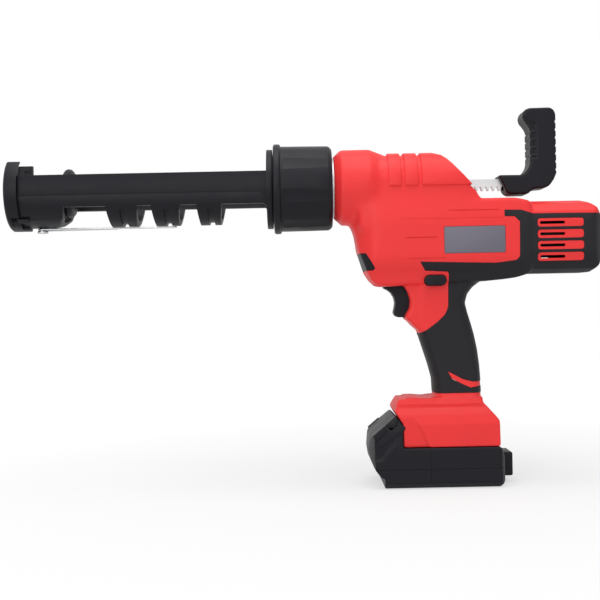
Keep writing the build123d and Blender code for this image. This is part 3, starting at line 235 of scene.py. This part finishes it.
# The grip is extruded from a rounded oblong, down from the body, and each step is resized
grip_sections = [
    (196, -22.0, 62.0, 22.0), (186, -22.0, 48.0, 22.0), (180, -22.0, 39.4, 21.8),
    (174, -22.0, 31.4, 21.5), (168, -22.0, 26.8, 21.2), (160, -22.0, 24.6, 20.6),
    (151, -22.4, 26.8, 20.2), (141, -20.0, 29.8, 19.8), (131.9, -16.0, 32.2, 19.4),
    (119, -12.0, 34.8, 19.0), (105.6, -7.8, 36.4, 19.0), (93, -4.6, 37.2, 19.4),
    (81, -4.0, 37.4, 20.2), (70, -4.0, 37.4, 21.0),
]
top_z, top_front, top_rear, top_half = grip_sections[0]
grip_corner_radius = 15
grip = drawn("grip", [(top_front, -top_half, top_z), (top_rear, -top_half, top_z),
                      (top_rear, top_half, top_z), (top_front, top_half, top_z)])
bpy.ops.mesh.bevel(affect="VERTICES", offset=grip_corner_radius * mm, segments=8)
bpy.ops.mesh.select_all(action="SELECT")
for above, here in zip(grip_sections, grip_sections[1:]):
    middle_above = (above[1] + above[2]) / 2
    middle = (here[1] + here[2]) / 2
    bpy.ops.mesh.extrude_region_move(TRANSFORM_OT_translate={
        "value": ((middle - middle_above) * mm, 0, (here[0] - above[0]) * mm)})
    bpy.ops.transform.resize(
        value=((here[2] - here[1]) / (above[2] - above[1]), here[3] / above[3], 1),
        center_override=(middle * mm, 0, here[0] * mm))
closed(grip)

# Cheeks of the shell reach forward on both sides of the trigger
guard_outline = [
    (-10, 182), (-33, 182), (-29.5, 176), (-26.2, 170), (-24.4, 163), (-25.2, 156),
    (-29.2, 149.6), (-29.0, 146.8), (-25.2, 144.4), (-22.0, 140.5), (-10, 130),
]
guard_half = 19.5
guard_rounding = 5
guard = side_form("guard", guard_outline, -guard_half, guard_half)
round_edges(guard, guard_rounding, 3, 50)


def rectangle(x_low, z_low, x_high, z_high):
    return [(x_low, z_low), (x_high, z_low), (x_high, z_high), (x_low, z_high)]


def cut_flanks(form, outline, y_from, rounding=0.0, segments=4):
    """Cut an outline of the side view into both flanks of a form, from y_from outwards."""
    for side in (-1, 1):
        near, far = sorted((side * y_from, side * reach))
        combine(form, side_form("cut", outline, near, far, rounding, segments), "DIFFERENCE")
    return form


# The foot has sloping shoulders, a ring round the neck of the grip and drawn in front corners
foot_half = [(37, 35.3), (37, 55.5), (34.6, 63.5), (30.5, 69.5), (24.4, 72.4), (22.4, 77.5)]
foot_outline = [
    (-34.5, 35.3), (-34.3, 55.3), (-38.1, 61.3), (-41, 66.2), (-39, 72), (-36.5, 76.2),
    (-30.7, 76.2), (-28.6, 79.1), (-26.1, 78.9), (-20.3, 77.2), (-12.6, 76.6), (-5.4, 77.6),
    (37.0, 77.6), (37.0, 73.0), (42.6, 66), (47.6, 60.2), (49.4, 57.4), (49.8, 35.3),
]
foot_corner = [(-60, 30), (-9.5, 30), (-24.4, 62), (-27, 90), (-60, 90)]
foot_corner_y = 35.2
foot = section_form("foot", foot_half, -45, 55)
combine(foot, side_form("foot_clip", foot_outline, -reach, reach), "INTERSECT")
cut_flanks(foot, foot_corner, foot_corner_y)
neck_low_z, neck_height, neck_radius = 66.0, 8.6, 14
neck_outline = rectangle(-13, -24.5, 36.5, 24.5)
neck = prism("neck", [(x, y, neck_low_z) for x, y in neck_outline], (0, 0, neck_height),
             neck_radius, 8)
round_edges(neck, 1.6, 2, 50)

fineness = 1.0
soften(body, 1.5, 16)
for piece in (head, body, motor_room, grip, foot, neck, guard):
    combine(shell, piece, "UNION")
soften(shell, fineness, 9)


def ease_between(form, low, high, steps, margin=9):
    """Blend the form softly inside a box, fading out towards the box's sides."""
    zone = form.vertex_groups.new(name="ease_zone")
    for corner in form.data.vertices:
        inner = min(min(place / mm - a, b - place / mm)
                    for place, a, b in zip(corner.co, low, high))
        if inner > 0:
            zone.add([corner.index], min(1, inner / margin), "REPLACE")
    pick(form)
    ease = form.modifiers.new("ease", "SMOOTH")
    ease.factor = 0.5
    ease.iterations = steps
    ease.vertex_group = zone.name
    bpy.ops.object.modifier_apply(modifier=ease.name)
    form.vertex_groups.clear()
    return form


# The nose of the body runs softly into the barrel and the head
ease_between(shell, (-79, -70, 208), (-14, 70, 270), int(110 / fineness ** 2))

# Raised pads on the roof keep crisp edges, so they join after the softening
pad_half = [(32.1, 263.6), (32.1, 271.8), (28.2, 282.4), (20.4, 290.9), (9.9, 294.3)]
pad_outline = [
    (-71, 250), (-66, 294.3), (-2.0, 294.3), (4.6, 291.0), (9.2, 287.5), (34.6, 258.7),
    (43, 243), (-71, 243),
]
pad_low_z = 262.6
pad_corner = 2.2
for pad_front, pad_rear in ((-42.3, -31.5), (-28.2, -16.9), (-13.4, 40.0)):
    pad = section_form("pad", pad_half, -reach, reach)
    combine(pad, side_form("pad_clip", pad_outline, -reach, reach), "INTERSECT")
    span = rectangle(pad_front, pad_low_z, pad_rear, 300)
    combine(pad, side_form("pad_span", span, -reach, reach, pad_corner), "INTERSECT")
    combine(shell, round_edges(pad, 0.7), "UNION")


def copy_of(form, name):
    """A second form with a mesh of its own."""
    twin = form.copy()
    twin.data = form.data.copy()
    twin.name = name
    bpy.context.collection.objects.link(twin)
    return twin


def swell(form, distance):
    """Move the whole skin of a form out by a distance, or in where it is negative."""
    pick(form)
    push = form.modifiers.new("swell", "DISPLACE")
    push.strength = distance * mm
    push.mid_level = 0.0
    bpy.ops.object.modifier_apply(modifier=push.name)
    return form


def block(name, low, high):
    """A box between two corners."""
    bpy.ops.mesh.primitive_cube_add(
        size=1, location=[(a + b) / 2 * mm for a, b in zip(low, high)],
        scale=[(b - a) * mm for a, b in zip(low, high)])
    bpy.ops.object.transform_apply(location=True, rotation=True, scale=True)
    box = bpy.context.object
    box.name = name
    return box


shell_wall = 2.6
cavity = soften(copy_of(shell, "cavity"), 2.5, 2)
combine(shell, swell(cavity, -shell_wall), "DIFFERENCE")

# The shell is open at the mouth, the trigger, the rack, the vents and the battery's rails


def barrel_bore(x_low, x_high, radius, height=axis_z, sides=64):
    """A round bar along X, to bore with."""
    bpy.ops.mesh.primitive_cylinder_add(
        vertices=sides, radius=radius * mm, depth=(x_high - x_low) * mm,
        location=((x_low + x_high) / 2 * mm, 0, height * mm), rotation=(0, radians(90), 0))
    bpy.ops.object.transform_apply(location=True, rotation=True, scale=True)
    return bpy.context.object


mouth_radius = 27.2
combine(shell, barrel_bore(-95, -50, mouth_radius), "DIFFERENCE")
combine(shell, block("trigger_slot", (-60, -9, 147.6), (6, 9, 178.2)), "DIFFERENCE")
combine(shell, block("rack_slot", (0, -5.2, 259.1), (60, 5.2, 271.5)), "DIFFERENCE")
combine(shell, block("rail_room", (-60, -26.3, 20), (44.5, 26.3, 51.9)), "DIFFERENCE")
button_hole = side_form("button_hole", rectangle(-13.0, 175.5, 7.0, 185.3), -reach, reach, 4.7, 6)
combine(shell, button_hole, "DIFFERENCE")
vent_rows = 4
vent_top_z = 228.7
vent_pitch = 9.9
slit_front_x, slit_rear_x, slit_half = 87.9, 109.9, 1.3
for row in range(vent_rows):
    row_z = vent_top_z - vent_pitch * row
    slit = rectangle(slit_front_x, row_z - slit_half, slit_rear_x, row_z + slit_half)
    combine(shell, side_form("slit", slit, -reach, reach, 1.2, 3), "DIFFERENCE")

# Four fine moulded lines on the flanks, and last the shallow bed for the label plate
for line, line_y in (((8.5, 240.4, 53, 241.2), 32.2), ((-29.4, 217.2, -2.2, 218.2), 33.2),
                     ((-34, 233.7, 57, 234.3), 33.4), ((-27.3, 199.1, 5.5, 200.0), 33.0),
                     ((4.2, 203.2, 57.9, 227.0), 33.3)):
    cut_flanks(shell, rectangle(*line), line_y)

# Lamp window: a strip of dark smoked acrylic in front of the lamp board. It is moulded by
# itself and let into the bottom of the nose between the two halves.
lens = surface("dark_lens", (0.010, 0.010, 0.013), 0.50, grain=60, height=0.00001, shine=0.15)
lamp_outline = [(-90, 205.8), (-63.6, 205.3), (-55.8, 192.1), (-57.6, 189.9), (-90, 189.5)]


def finish_piece(form, material, body, *cad_nodes, smooth=40):
    """Give a piece its surface, its body and the CAD nodes that it stands for."""
    form.data.materials.clear()
    form.data.materials.append(material)
    pick(form)
    bpy.ops.object.shade_smooth_by_angle(angle=radians(smooth))
    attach(form, body)
    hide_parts(*cad_nodes)
    return form


lamp_fit = 0.25
window = copy_of(shell, "lamp_window_shape")
combine(window, side_form("lamp_zone", lamp_outline, -reach, reach), "INTERSECT")
finish_piece(swell(window, -lamp_fit), lens, "root", "lamp_window")
combine(shell, side_form("lamp_zone", lamp_outline, -reach, reach), "DIFFERENCE")

# Rubber skin: black soft TPE moulded over each half, round the grip, along the motor room and
# round the vents. The red bars of the vents and the red sweep above the foot show through it.
rubber = surface("black_rubber", (0.010, 0.0095, 0.012), 0.62, grain=1700, height=0.00006,
                 shine=0.25)
rubber_outline = [
    (57.6, 240.2), (71.7, 239.9), (81.4, 236.7), (160, 236), (160, 165), (60, 165), (60, 81),
    (-15, 81), (-30, 120), (-22, 131), (-18.4, 132.6), (-10, 136.9), (-0.9, 143.5),
    (5.4, 149.6), (7.8, 154.1), (8.8, 158), (9.1, 185.4), (7.8, 188), (-12, 189.2),
    (-16.4, 196.5), (49.3, 194.2), (67.1, 196.3), (70.2, 199.5), (70.7, 230.1), (66.1, 234.9),
    (57.5, 235.1),
]
sweep_outline = [
    (6.8, 100.4), (20.3, 93.2), (28.9, 90.9), (60, 91.6), (60, 86.7), (34.9, 86.2),
    (26.7, 85.1), (19.2, 88.5), (10.4, 93.3),
]
bar_front_x, bar_rear_x, bar_half = 85.6, 126.3, 4.0


def rubber_zone(name):
    """The region of the side view that the rubber covers."""
    zone = side_form(name, rubber_outline, -reach, reach)
    combine(zone, side_form("sweep", sweep_outline, -70, 70), "DIFFERENCE")
    for row in range(vent_rows):
        row_z = vent_top_z - vent_pitch * row
        bar = rectangle(bar_front_x, row_z - bar_half, bar_rear_x, row_z + bar_half)
        combine(zone, side_form("bar", bar, -70, 70, 2.6), "DIFFERENCE")
    return zone


def half_of(form, side, name, gap=0.12):
    """The left (-1) or right (1) half of a form, with half a parting gap left free."""
    half = copy_of(form, name)
    pick(half)
    bpy.ops.object.mode_set(mode="EDIT")
    bpy.ops.mesh.select_all(action="SELECT")
    bpy.ops.mesh.bisect(plane_co=(0, side * gap * mm, 0), plane_no=(0, side, 0),
                        use_fill=True, clear_inner=True)
    bpy.ops.object.mode_set(mode="OBJECT")
    return half


rubber_rise = 0.35
rubber_gap = 0.5
skin = combine(copy_of(shell, "skin"), rubber_zone("zone"), "INTERSECT")
swell(skin, rubber_rise)
combine(shell, swell(rubber_zone("wide_zone"), rubber_gap), "DIFFERENCE")
for side, hand in ((-1, "left"), (1, "right")):
    finish_piece(half_of(shell, side, f"shell_{hand}"), red, "root", f"housing_{hand}", smooth=50)
    finish_piece(half_of(skin, side, f"soft_grip_{hand}"), rubber, "root",
                 f"rubber_grip_{hand}", smooth=50)
bpy.data.objects.remove(shell, do_unlink=True)
bpy.data.objects.remove(skin, do_unlink=True)

# Label plates: thin brushed aluminium, anodised grey. One is stuck into its bed on each side,
# and both are left bare.
grey = surface("grey_plate", (0.120, 0.113, 0.148), 0.45, grain=2400, height=0.000008,
               stretch=(0.05, 1, 1))


def merged_copy(node):
    """The CAD node's own shape as one joined mesh with clean flat faces."""
    piece = copy_of(nodes[node], f"{node}_shape")
    pick(piece)
    bpy.ops.object.mode_set(mode="EDIT")
    bpy.ops.mesh.select_all(action="SELECT")
    bpy.ops.mesh.remove_doubles(threshold=0.000004)
    bpy.ops.mesh.dissolve_limited(angle_limit=radians(0.4))
    bpy.ops.object.mode_set(mode="OBJECT")
    return piece


def rounded_copy(node, width, material, body, segments=2, angle=30):
    """The CAD node's own shape with its sharp edges rounded."""
    piece = round_edges(merged_copy(node), width, segments, angle)
    return finish_piece(piece, material, body, node)


for hand in ("left", "right"):
    rounded_copy(f"label_plate_{hand}", 0.25, grey, "root")


# Screws: self cutting steel screws, turned and hardened. Ten hold the two halves together, and
# four small ones hold the gear case's cover.
def colour(material, *names):
    """Give CAD nodes that keep their own shape a material."""
    for name in names:
        mesh = nodes[name].data
        mesh.materials.clear()
        mesh.materials.append(material)


steel = surface("steel", (0.55, 0.56, 0.57), 0.30, metal=1.0, grain=1500, height=0.000012,
                stretch=(0.03, 1, 1))
colour(steel, "housing_screws", "cover_screws")

# Gear case: a die cast zinc box with its cover, open at the threaded nose, and a sintered
# bronze bush in which the push rod slides
alloy = surface("cast_alloy", (0.60, 0.61, 0.63), 0.48, metal=1.0, grain=1100, height=0.00006)
brass = surface("brass", (0.72, 0.55, 0.25), 0.32, metal=1.0)
colour(alloy, "gear_case", "gear_case_cover")
colour(brass, "rod_bush")

# Gear train: cut steel gears pressed on their shafts, which turn in steel bearings. Three brass
# planets run in a blackened steel ring between the motor and the gear case.
# One near black material: blackened steel on the ring gear, and painted shade on the motor can
# and the latch springs.
dark_steel_and_shade = surface("blackened_steel_and_painted_shade", (0.030, 0.028, 0.030), 0.55, grain=1800, height=0.00002)
colour(steel, "rack_pinion", "clutch_plate", "drive_wheel", "idler_shaft", "crown_gear",
       "planet_carrier", "shaft_bearings")
colour(brass, "planet_gear_1", "planet_gear_2", "planet_gear_3")
colour(dark_steel_and_shade, "ring_gear")

# Motor: a brushed direct current motor with a drawn steel can, two arc magnets, a wound
# armature, a copper commutator with carbon brushes, and a plastic fan on its shaft
copper = surface("copper", (0.70, 0.33, 0.17), 0.35, metal=1.0, grain=2500)
carbon = surface("carbon", (0.03, 0.03, 0.03), 0.70)
black = surface("black_plastic", (0.0085, 0.0085, 0.012), 0.46, grain=2200, height=0.00003,
                shine=0.17)
# The motor can is coloured near black as painted shade, so the inside seen through the vent slits
# stays dark.
colour(dark_steel_and_shade, "motor_can", "motor_magnets")
colour(steel, "motor_shaft", "armature")
colour(copper, "armature_windings", "commutator")
colour(carbon, "carbon_brushes")
colour(black, "motor_end_bell", "cooling_fan")

# Push rod: a zinc plated steel bar with rack teeth milled in its underside, the nut and the
# pin at its ends, and the two moulded discs that push the cartridge's base
zinc = surface("zinc_rod", (0.60, 0.60, 0.60), 0.36, metal=1.0, grain=1200, height=0.00001,
               stretch=(0.05, 1, 1))
colour(zinc, "push_rod")
colour(steel, "plunger_nut", "handle_pin")
for name in ("plunger_disc", "plunger_backing"):
    rounded_copy(name, 0.3, black, "push_rod", angle=50)

# Pull handle: a moulded L of glass filled nylon on the end of the rod, with a ribbed strip for
# the fingers, a rounded hook at its top and a notched back
handle_outline = [
    (56.6, 273.2), (76.4, 273.0), (80.6, 274.8), (84.0, 279.9), (85.2, 284), (85.2, 313.5),
    (84.0, 315.8), (81.9, 318.8), (79.4, 321.6), (78.8, 326.4), (81.3, 331.0), (85.6, 332.3),
    (103.8, 332.6), (107.3, 330.2), (108.6, 326.4), (108.6, 274.2), (106.1, 268.4),
    (102.1, 262.8), (98.1, 261.0), (87.1, 260.0), (82.8, 255.7), (66.4, 255.7), (63.0, 258.6),
    (61.6, 263.2),
]
handle_half = 12.5
strip_outline = [(80, 287), (91.4, 287), (91.4, 319.0), (87.5, 319.0), (80, 325)]
strip_y = 11.6
rib_places = [290.0 + 7.0 * number for number in range(4)]
rib_half = 0.4
back_places = [277.0 + 7.1 * number for number in range(7)]
handle = round_edges(side_form("handle", handle_outline, -handle_half, handle_half), 2.0)
for side in (-1, 1):
    near, far = sorted((side * strip_y, side * 20))
    strip = side_form("strip", strip_outline, near, far)
    for rib_z in rib_places:
        rib = block("rib", (80, -30, rib_z - rib_half), (90.4, 30, rib_z + rib_half))
        combine(strip, rib, "DIFFERENCE")
    combine(handle, strip, "DIFFERENCE")
for rib_z in rib_places:
    notch = [(84.6, rib_z - 1.3), (86.3, rib_z - 0.5), (86.3, rib_z + 0.5), (84.6, rib_z + 1.3)]
    combine(handle, side_form("notch", notch, -20, 20), "DIFFERENCE")
for notch_z in back_places:
    notch = [(107.5, notch_z - 0.7), (110, notch_z - 1.9), (110, notch_z + 1.9),
             (107.5, notch_z + 0.7)]
    combine(handle, side_form("notch", notch, -20, 20), "DIFFERENCE")
hook_line = [(83.4, 320.6), (84.9, 322.3), (85.3, 327.2), (84.0, 334), (83.3, 334),
             (84.5, 327.2), (84.2, 322.8)]
combine(handle, side_form("hook_line", hook_line, -30, 30), "DIFFERENCE")
soften(handle, 0.55 * fineness, 3)
combine(handle, block("rod_socket", (50, -4.2, 260.1), (80.2, 4.2, 270.5)), "DIFFERENCE")
finish_piece(handle, black, "push_rod", "pull_handle", smooth=50)

# Collar: a thick black nylon nut on the gear case's thread, with a bead at its front and
# eight flat flutes for the fingers
flute_count = 8
flute_depth = 0.75
flute_curve = 60
first_flute = 14.0
collar_radius = 38.0
collar = turned("collar_shape", [
    (-143.5, 30.4), (-143.5, 38.6), (-143.1, 39.6), (-142.2, 40.2), (-138.5, 40.2),
    (-137.6, 39.7), (-137.1, 38.8), (-137.0, 38.0), (-134.9, 38.1), (-120, 38.0),
    (-105, 37.8), (-95.1, 37.7), (-93.6, 36.9), (-92.3, 35.8), (-91.5, 34.4), (-91.4, 31.4),
    (-137.5, 31.4), (-137.5, 30.4)], 144)
for number in range(flute_count):
    flute = barrel_bore(-134.9, -94.9, flute_curve,
                        axis_z + collar_radius + flute_curve - flute_depth, 96)
    bpy.ops.object.mode_set(mode="EDIT")
    bpy.ops.mesh.select_all(action="SELECT")
    bpy.ops.transform.rotate(
        value=-radians(first_flute + 360 * number / flute_count), orient_axis="X",
        center_override=(0, 0, axis_z * mm))
    bpy.ops.object.mode_set(mode="OBJECT")
    combine(collar, flute, "DIFFERENCE")
round_edges(collar, 0.25, 2, 9)
finish_piece(collar, black, "collar", "collar", smooth=25)

# Cradle: the open trough for the cartridge, moulded in glass filled nylon with three bands
# under its rails, the slotted plate at its front and the cutter's blade in the rail's ear
cradle = merged_copy("cradle")
rail_low_z = 251.1
below_z = 225
band_slant = 3.4
gap_start = [(-352, below_z), (-345, 233), (-334.8, 236.4), (-329.6, 241.6), (-327.5, rail_low_z)]
for band_x, band_half in ((-277.2, 13.8), (-238.7, 12.5), (-200.2, 11.2)):
    front, rear = band_x - band_half, band_x + band_half
    gap = gap_start + [(front, rail_low_z), (front + band_slant, below_z)]
    combine(cradle, side_form("gap", gap, -reach, reach), "DIFFERENCE")
    gap_start = [(rear - band_slant, below_z), (rear, rail_low_z)]
gap = gap_start + [(-151.9, rail_low_z), (-149.5, 248.1), (-149.5, below_z)]
combine(cradle, side_form("gap", gap, -reach, reach), "DIFFERENCE")
combine(cradle, block("ear_floor", (-360.6, -26.8, 279.5), (-354.6, -24.4, 283.1)), "UNION")
finish_piece(round_edges(cradle, 0.45, 2), black, "cradle", "cradle")
rounded_copy("front_plate", 0.9, black, "cradle", 3)
rounded_copy("cutter_blade", 0.15, steel, "cradle")
rounded_copy("wire_screw", 0.5, steel, "cradle")

# Piercing wire: spring wire with a coil round its screw, the long strand folded back under the
# trough and a short one beside it
wire_pivot_x = -352.0
wire_z = 233.0
wire_radius = 0.8
coil_radius = 3.5
coil_steps = 20
coil_turns = 1.5
wire_path = [(-231.0, -coil_radius, wire_z)]
for step in range(int(coil_steps * coil_turns) + 1):
    angle = -pi / 2 - 2 * pi * step / coil_steps
    wire_path.append((wire_pivot_x + coil_radius * cos(angle), coil_radius * sin(angle),
                      wire_z + 0.3 - 0.5 * step / coil_steps))
wire_path.append((-285, 4.4, wire_z + 0.2))
strand = bpy.data.curves.new("wire", "CURVE")
strand.dimensions = "3D"
strand.bevel_depth = wire_radius * mm
strand.bevel_resolution = 4
strand.use_fill_caps = True
spline = strand.splines.new("POLY")
spline.points.add(len(wire_path) - 1)
for point, place in zip(spline.points, wire_path):
    point.co = (place[0] * mm, place[1] * mm, place[2] * mm, 1)
wire = bpy.data.objects.new("wire_shape", strand)
bpy.context.collection.objects.link(wire)
pick(wire)
bpy.ops.object.convert(target="MESH")
finish_piece(bpy.context.object, steel, "wire", "piercing_wire", smooth=60)

# Trigger: a smooth hollow faced finger lever of black nylon that slides straight back into the
# housing against its spring, with the switch behind it and the cross button above it
trigger_outline = [
    (-46.4, 174.1), (-47.6, 175.8), (-46.8, 177.4), (-13.0, 177.4), (-13.0, 148.2),
    (-34.1, 148.2), (-36.6, 149.0), (-38.2, 150.9), (-38.5, 153.0), (-37.6, 156.6),
    (-36.9, 161.1), (-37.8, 166.0), (-40.4, 170.2), (-43.6, 172.8),
]
trigger_half = 8.5
lever = soften(side_form("lever", trigger_outline, -trigger_half, trigger_half), 0.5, 8)
finish_piece(lever, black, "trigger", "trigger")
rounded_copy("cross_button", 1.0, black, "cross_button", 3)
colour(steel, "trigger_spring")
colour(black, "switch_body")

# Boards and contacts: green glass fibre boards for the lamp, the motor and the cells. The
# stamped brass blades of the terminal block meet the battery.
board = surface("board", (0.02, 0.13, 0.06), 0.38, grain=700)
colour(board, "lamp_board", "control_board", "battery_board")
colour(brass, "terminal_block")

# Battery: a two part case of black ABS that slides on from the front, with a sloping nose that
# carries the release buttons in raised panels, a rail block on top and a gauge on its back
battery_outline = [
    (-51.4, 0), (49.5, 0), (53.5, 4.5), (53.5, 26), (51.6, 31), (49.6, 35), (-34.8, 35),
    (-34.8, 54.9), (-37.5, 59.4), (-41.0, 62.6), (-62.6, 44.4), (-64.3, 32.9), (-62.4, 23.0),
    (-59.8, 17.0), (-55.2, 10.6), (-53.4, 9.4), (-51.5, 9.4),
]
battery_half = [(33.5, 0), (38, 4.5), (38, 36), (36.0, 50), (31.0, 66)]
battery_plan = [(-65.2 + 6.3 * (y / 39) ** 2, y) for y in range(-39, 40, 6)] + [
    (49.5, 39), (53.5, 33), (53.5, -33), (49.5, -39)]
cheek_outline = [(-30, 54), (-54, 25), (-70, 24), (-70, 70), (-30, 70)]
panel_outline = [(-40.6, 61.2), (-31.6, 52.2), (-54.3, 36.8), (-60.0, 45.8)]
panel_half = [(36.5, 30), (37.6, 38), (36.7, 50), (31.9, 66)]
recess_outline = [(-51.4, 56.0), (-40.4, 62.4), (-38.8, 55.4), (-45.4, 50.6)]
latch_outline = [(-62.0, 47.8), (-58.7, 40.0), (-47.8, 51.0), (-53.4, 56.6)]
pack = section_form("pack", battery_half, -70, 60)
combine(pack, side_form("pack_clip", battery_outline, -reach, reach, 1.0, 2), "INTERSECT")
combine(pack, plan_form("pack_plan", battery_plan, -1, 90), "INTERSECT")
cut_flanks(pack, cheek_outline, 36.9)
panel = section_form("panel", panel_half, -70, -20)
combine(panel, side_form("panel_clip", panel_outline, -reach, reach, 1.0, 2), "INTERSECT")
combine(pack, panel, "UNION")
soften(pack, 0.8 * fineness, 3)
pack_wall = 2.2
pack_cavity = swell(soften(copy_of(pack, "pack_cavity"), 2.0, 1), -pack_wall)
combine(pack, pack_cavity, "DIFFERENCE")
rail = block("rail", (-35, -26, 32.6), (44, 26, 51.6))
cut_flanks(rail, rectangle(-34.8, 38.3, 45, 41.7), 22.6)
cut_flanks(pack, rectangle(-11.5, 0.5, -11.1, 34), 37.6)
combine(pack, rail, "UNION")
combine(pack, block("rail_hollow", (-32.4, -21.4, 20), (41.6, 21.4, 48.5)), "DIFFERENCE")
for blade_y in (-9, 0, 9):
    combine(pack, block("blade_slot", (20, blade_y - 0.9, 41.8), (45, blade_y + 0.9, 52.6)),
            "DIFFERENCE")
cut_flanks(pack, latch_outline, 29.9, 0.6, 2)
cut_flanks(pack, recess_outline, 33.6, 0.8, 2)
seam_z = 16.8
seam_half = 0.12
for name, low, high in (("case", -10, seam_z - seam_half), ("cover", seam_z + seam_half, 100)):
    half = copy_of(pack, f"battery_{name}_shape")
    combine(half, block("keep", (-90, -reach, low), (90, reach, high)), "INTERSECT")
    finish_piece(half, black, "battery", f"battery_{name}", smooth=45)
bpy.data.objects.remove(pack, do_unlink=True)

# The latches stand half a millimetre proud of the sloping nose
slope = [(-74.9, 34.7), (-29.3, 73.1), (-20, 73.1), (-20, 20), (-74.9, 20)]
for hand in ("left", "right"):
    latch = merged_copy(f"battery_latch_{hand}")
    combine(latch, side_form("slope", slope, -reach, reach), "INTERSECT")
    finish_piece(round_edges(latch, 0.5, 3), black, f"latch_{hand}", f"battery_latch_{hand}")
rounded_copy("battery_gauge", 1.6, black, "battery", 3)
wrap = surface("cell_wrap", (0.05, 0.26, 0.18), 0.35)
colour(wrap, "battery_cells")
# The latch springs are coloured near black as painted shade, so the slots beside the latches look
# like dark gaps without glints.
colour(dark_steel_and_shade, "latch_spring_left", "latch_spring_right")

# Camera: about a metre off to the tool's left, level with the middle of its height, and rolled
# by a degree. Its angle comes from half the frame and the focal length, both in pixels.
photo_half_px = 300
photo_focal_px = 1080
camera_data = bpy.data.cameras.new("camera")
camera_data.angle = 2 * atan(photo_half_px / photo_focal_px)
camera_data.clip_start = 0.01
camera = bpy.data.objects.new("camera", camera_data)
camera.location = (-0.1220, -0.972, 0.1655)
camera.rotation_euler = (radians(90), radians(1.15), 0)
bpy.context.collection.objects.link(camera)
bpy.context.scene.camera = camera


# Floor and sky: a white paper floor that keeps the shadow, and a plain sky that shows white to
# the camera and in the metal
def seen_by_eye(tree):
    """1 where a ray comes from the camera, a mirror or glass, and 0 for other light."""
    ray = tree.nodes.new("ShaderNodeLightPath")
    seen = ray.outputs["Is Camera Ray"]
    for kind in ("Is Glossy Ray", "Is Transmission Ray"):
        either = tree.nodes.new("ShaderNodeMath")
        either.operation = "MAXIMUM"
        tree.links.new(seen, either.inputs[0])
        tree.links.new(ray.outputs[kind], either.inputs[1])
        seen = either.outputs["Value"]
    return seen


bpy.ops.mesh.primitive_plane_add(size=8, location=(0, 0, -0.0005))
floor = bpy.context.object
floor.name = "floor"
paper = bpy.data.materials.new("paper")
paper.use_nodes = True
tree = paper.node_tree
paint = tree.nodes["Principled BSDF"]
paint.inputs["Base Color"].default_value = (0.88, 0.88, 0.88, 1)
paint.inputs["Roughness"].default_value = 0.9
glow = tree.nodes.new("ShaderNodeEmission")
place = tree.nodes.new("ShaderNodeTexCoord")
distance = tree.nodes.new("ShaderNodeVectorMath")
distance.operation = "LENGTH"
tree.links.new(place.outputs["Object"], distance.inputs[0])
fade = tree.nodes.new("ShaderNodeMapRange")
fade.inputs["From Min"].default_value = 0.12
fade.inputs["From Max"].default_value = 0.5
fade.inputs["To Min"].default_value = 0.6
tree.links.new(distance.outputs["Value"], fade.inputs["Value"])
share = tree.nodes.new("ShaderNodeMath")
share.operation = "MULTIPLY"
tree.links.new(seen_by_eye(tree), share.inputs[0])
tree.links.new(fade.outputs["Result"], share.inputs[1])
blend = tree.nodes.new("ShaderNodeMixShader")
tree.links.new(share.outputs["Value"], blend.inputs["Fac"])
tree.links.new(paint.outputs["BSDF"], blend.inputs[1])
tree.links.new(glow.outputs["Emission"], blend.inputs[2])
tree.links.new(blend.outputs["Shader"], tree.nodes["Material Output"].inputs["Surface"])
floor.data.materials.append(paper)

world = bpy.data.worlds.new("world")
bpy.context.scene.world = world
world.use_nodes = True
sky = world.node_tree
dim = sky.nodes["Background"]
dim.inputs["Color"].default_value = (1, 1, 1, 1)
dim.inputs["Strength"].default_value = 0.40
white = sky.nodes.new("ShaderNodeBackground")
white.inputs["Color"].default_value = (1, 1, 1, 1)
sky_mix = sky.nodes.new("ShaderNodeMixShader")
sky.links.new(seen_by_eye(sky), sky_mix.inputs["Fac"])
sky.links.new(dim.outputs["Background"], sky_mix.inputs[1])
sky.links.new(white.outputs["Background"], sky_mix.inputs[2])
sky.links.new(sky_mix.outputs["Shader"], sky.nodes["World Output"].inputs["Surface"])

# Lights: a broad soft one overhead and a weaker fill from the camera's side, with the sky
# between them
for spot, aim, size, power in (((-0.1, -0.35, 1.5), (0, 0, 0), 1.2, 14.4),
                               ((-0.5, -1.5, 0.7), (-0.1, 0, 0.15), 1.0, 7.8)):
    bpy.ops.object.light_add(type="AREA", location=spot)
    lamp = bpy.context.object
    lamp.data.size = size
    lamp.data.energy = power
    lamp.rotation_euler = (lamp.location - type(lamp.location)(aim)).to_track_quat(
        "Z", "Y").to_euler()
bpy.context.scene.view_settings.view_transform = "Standard"
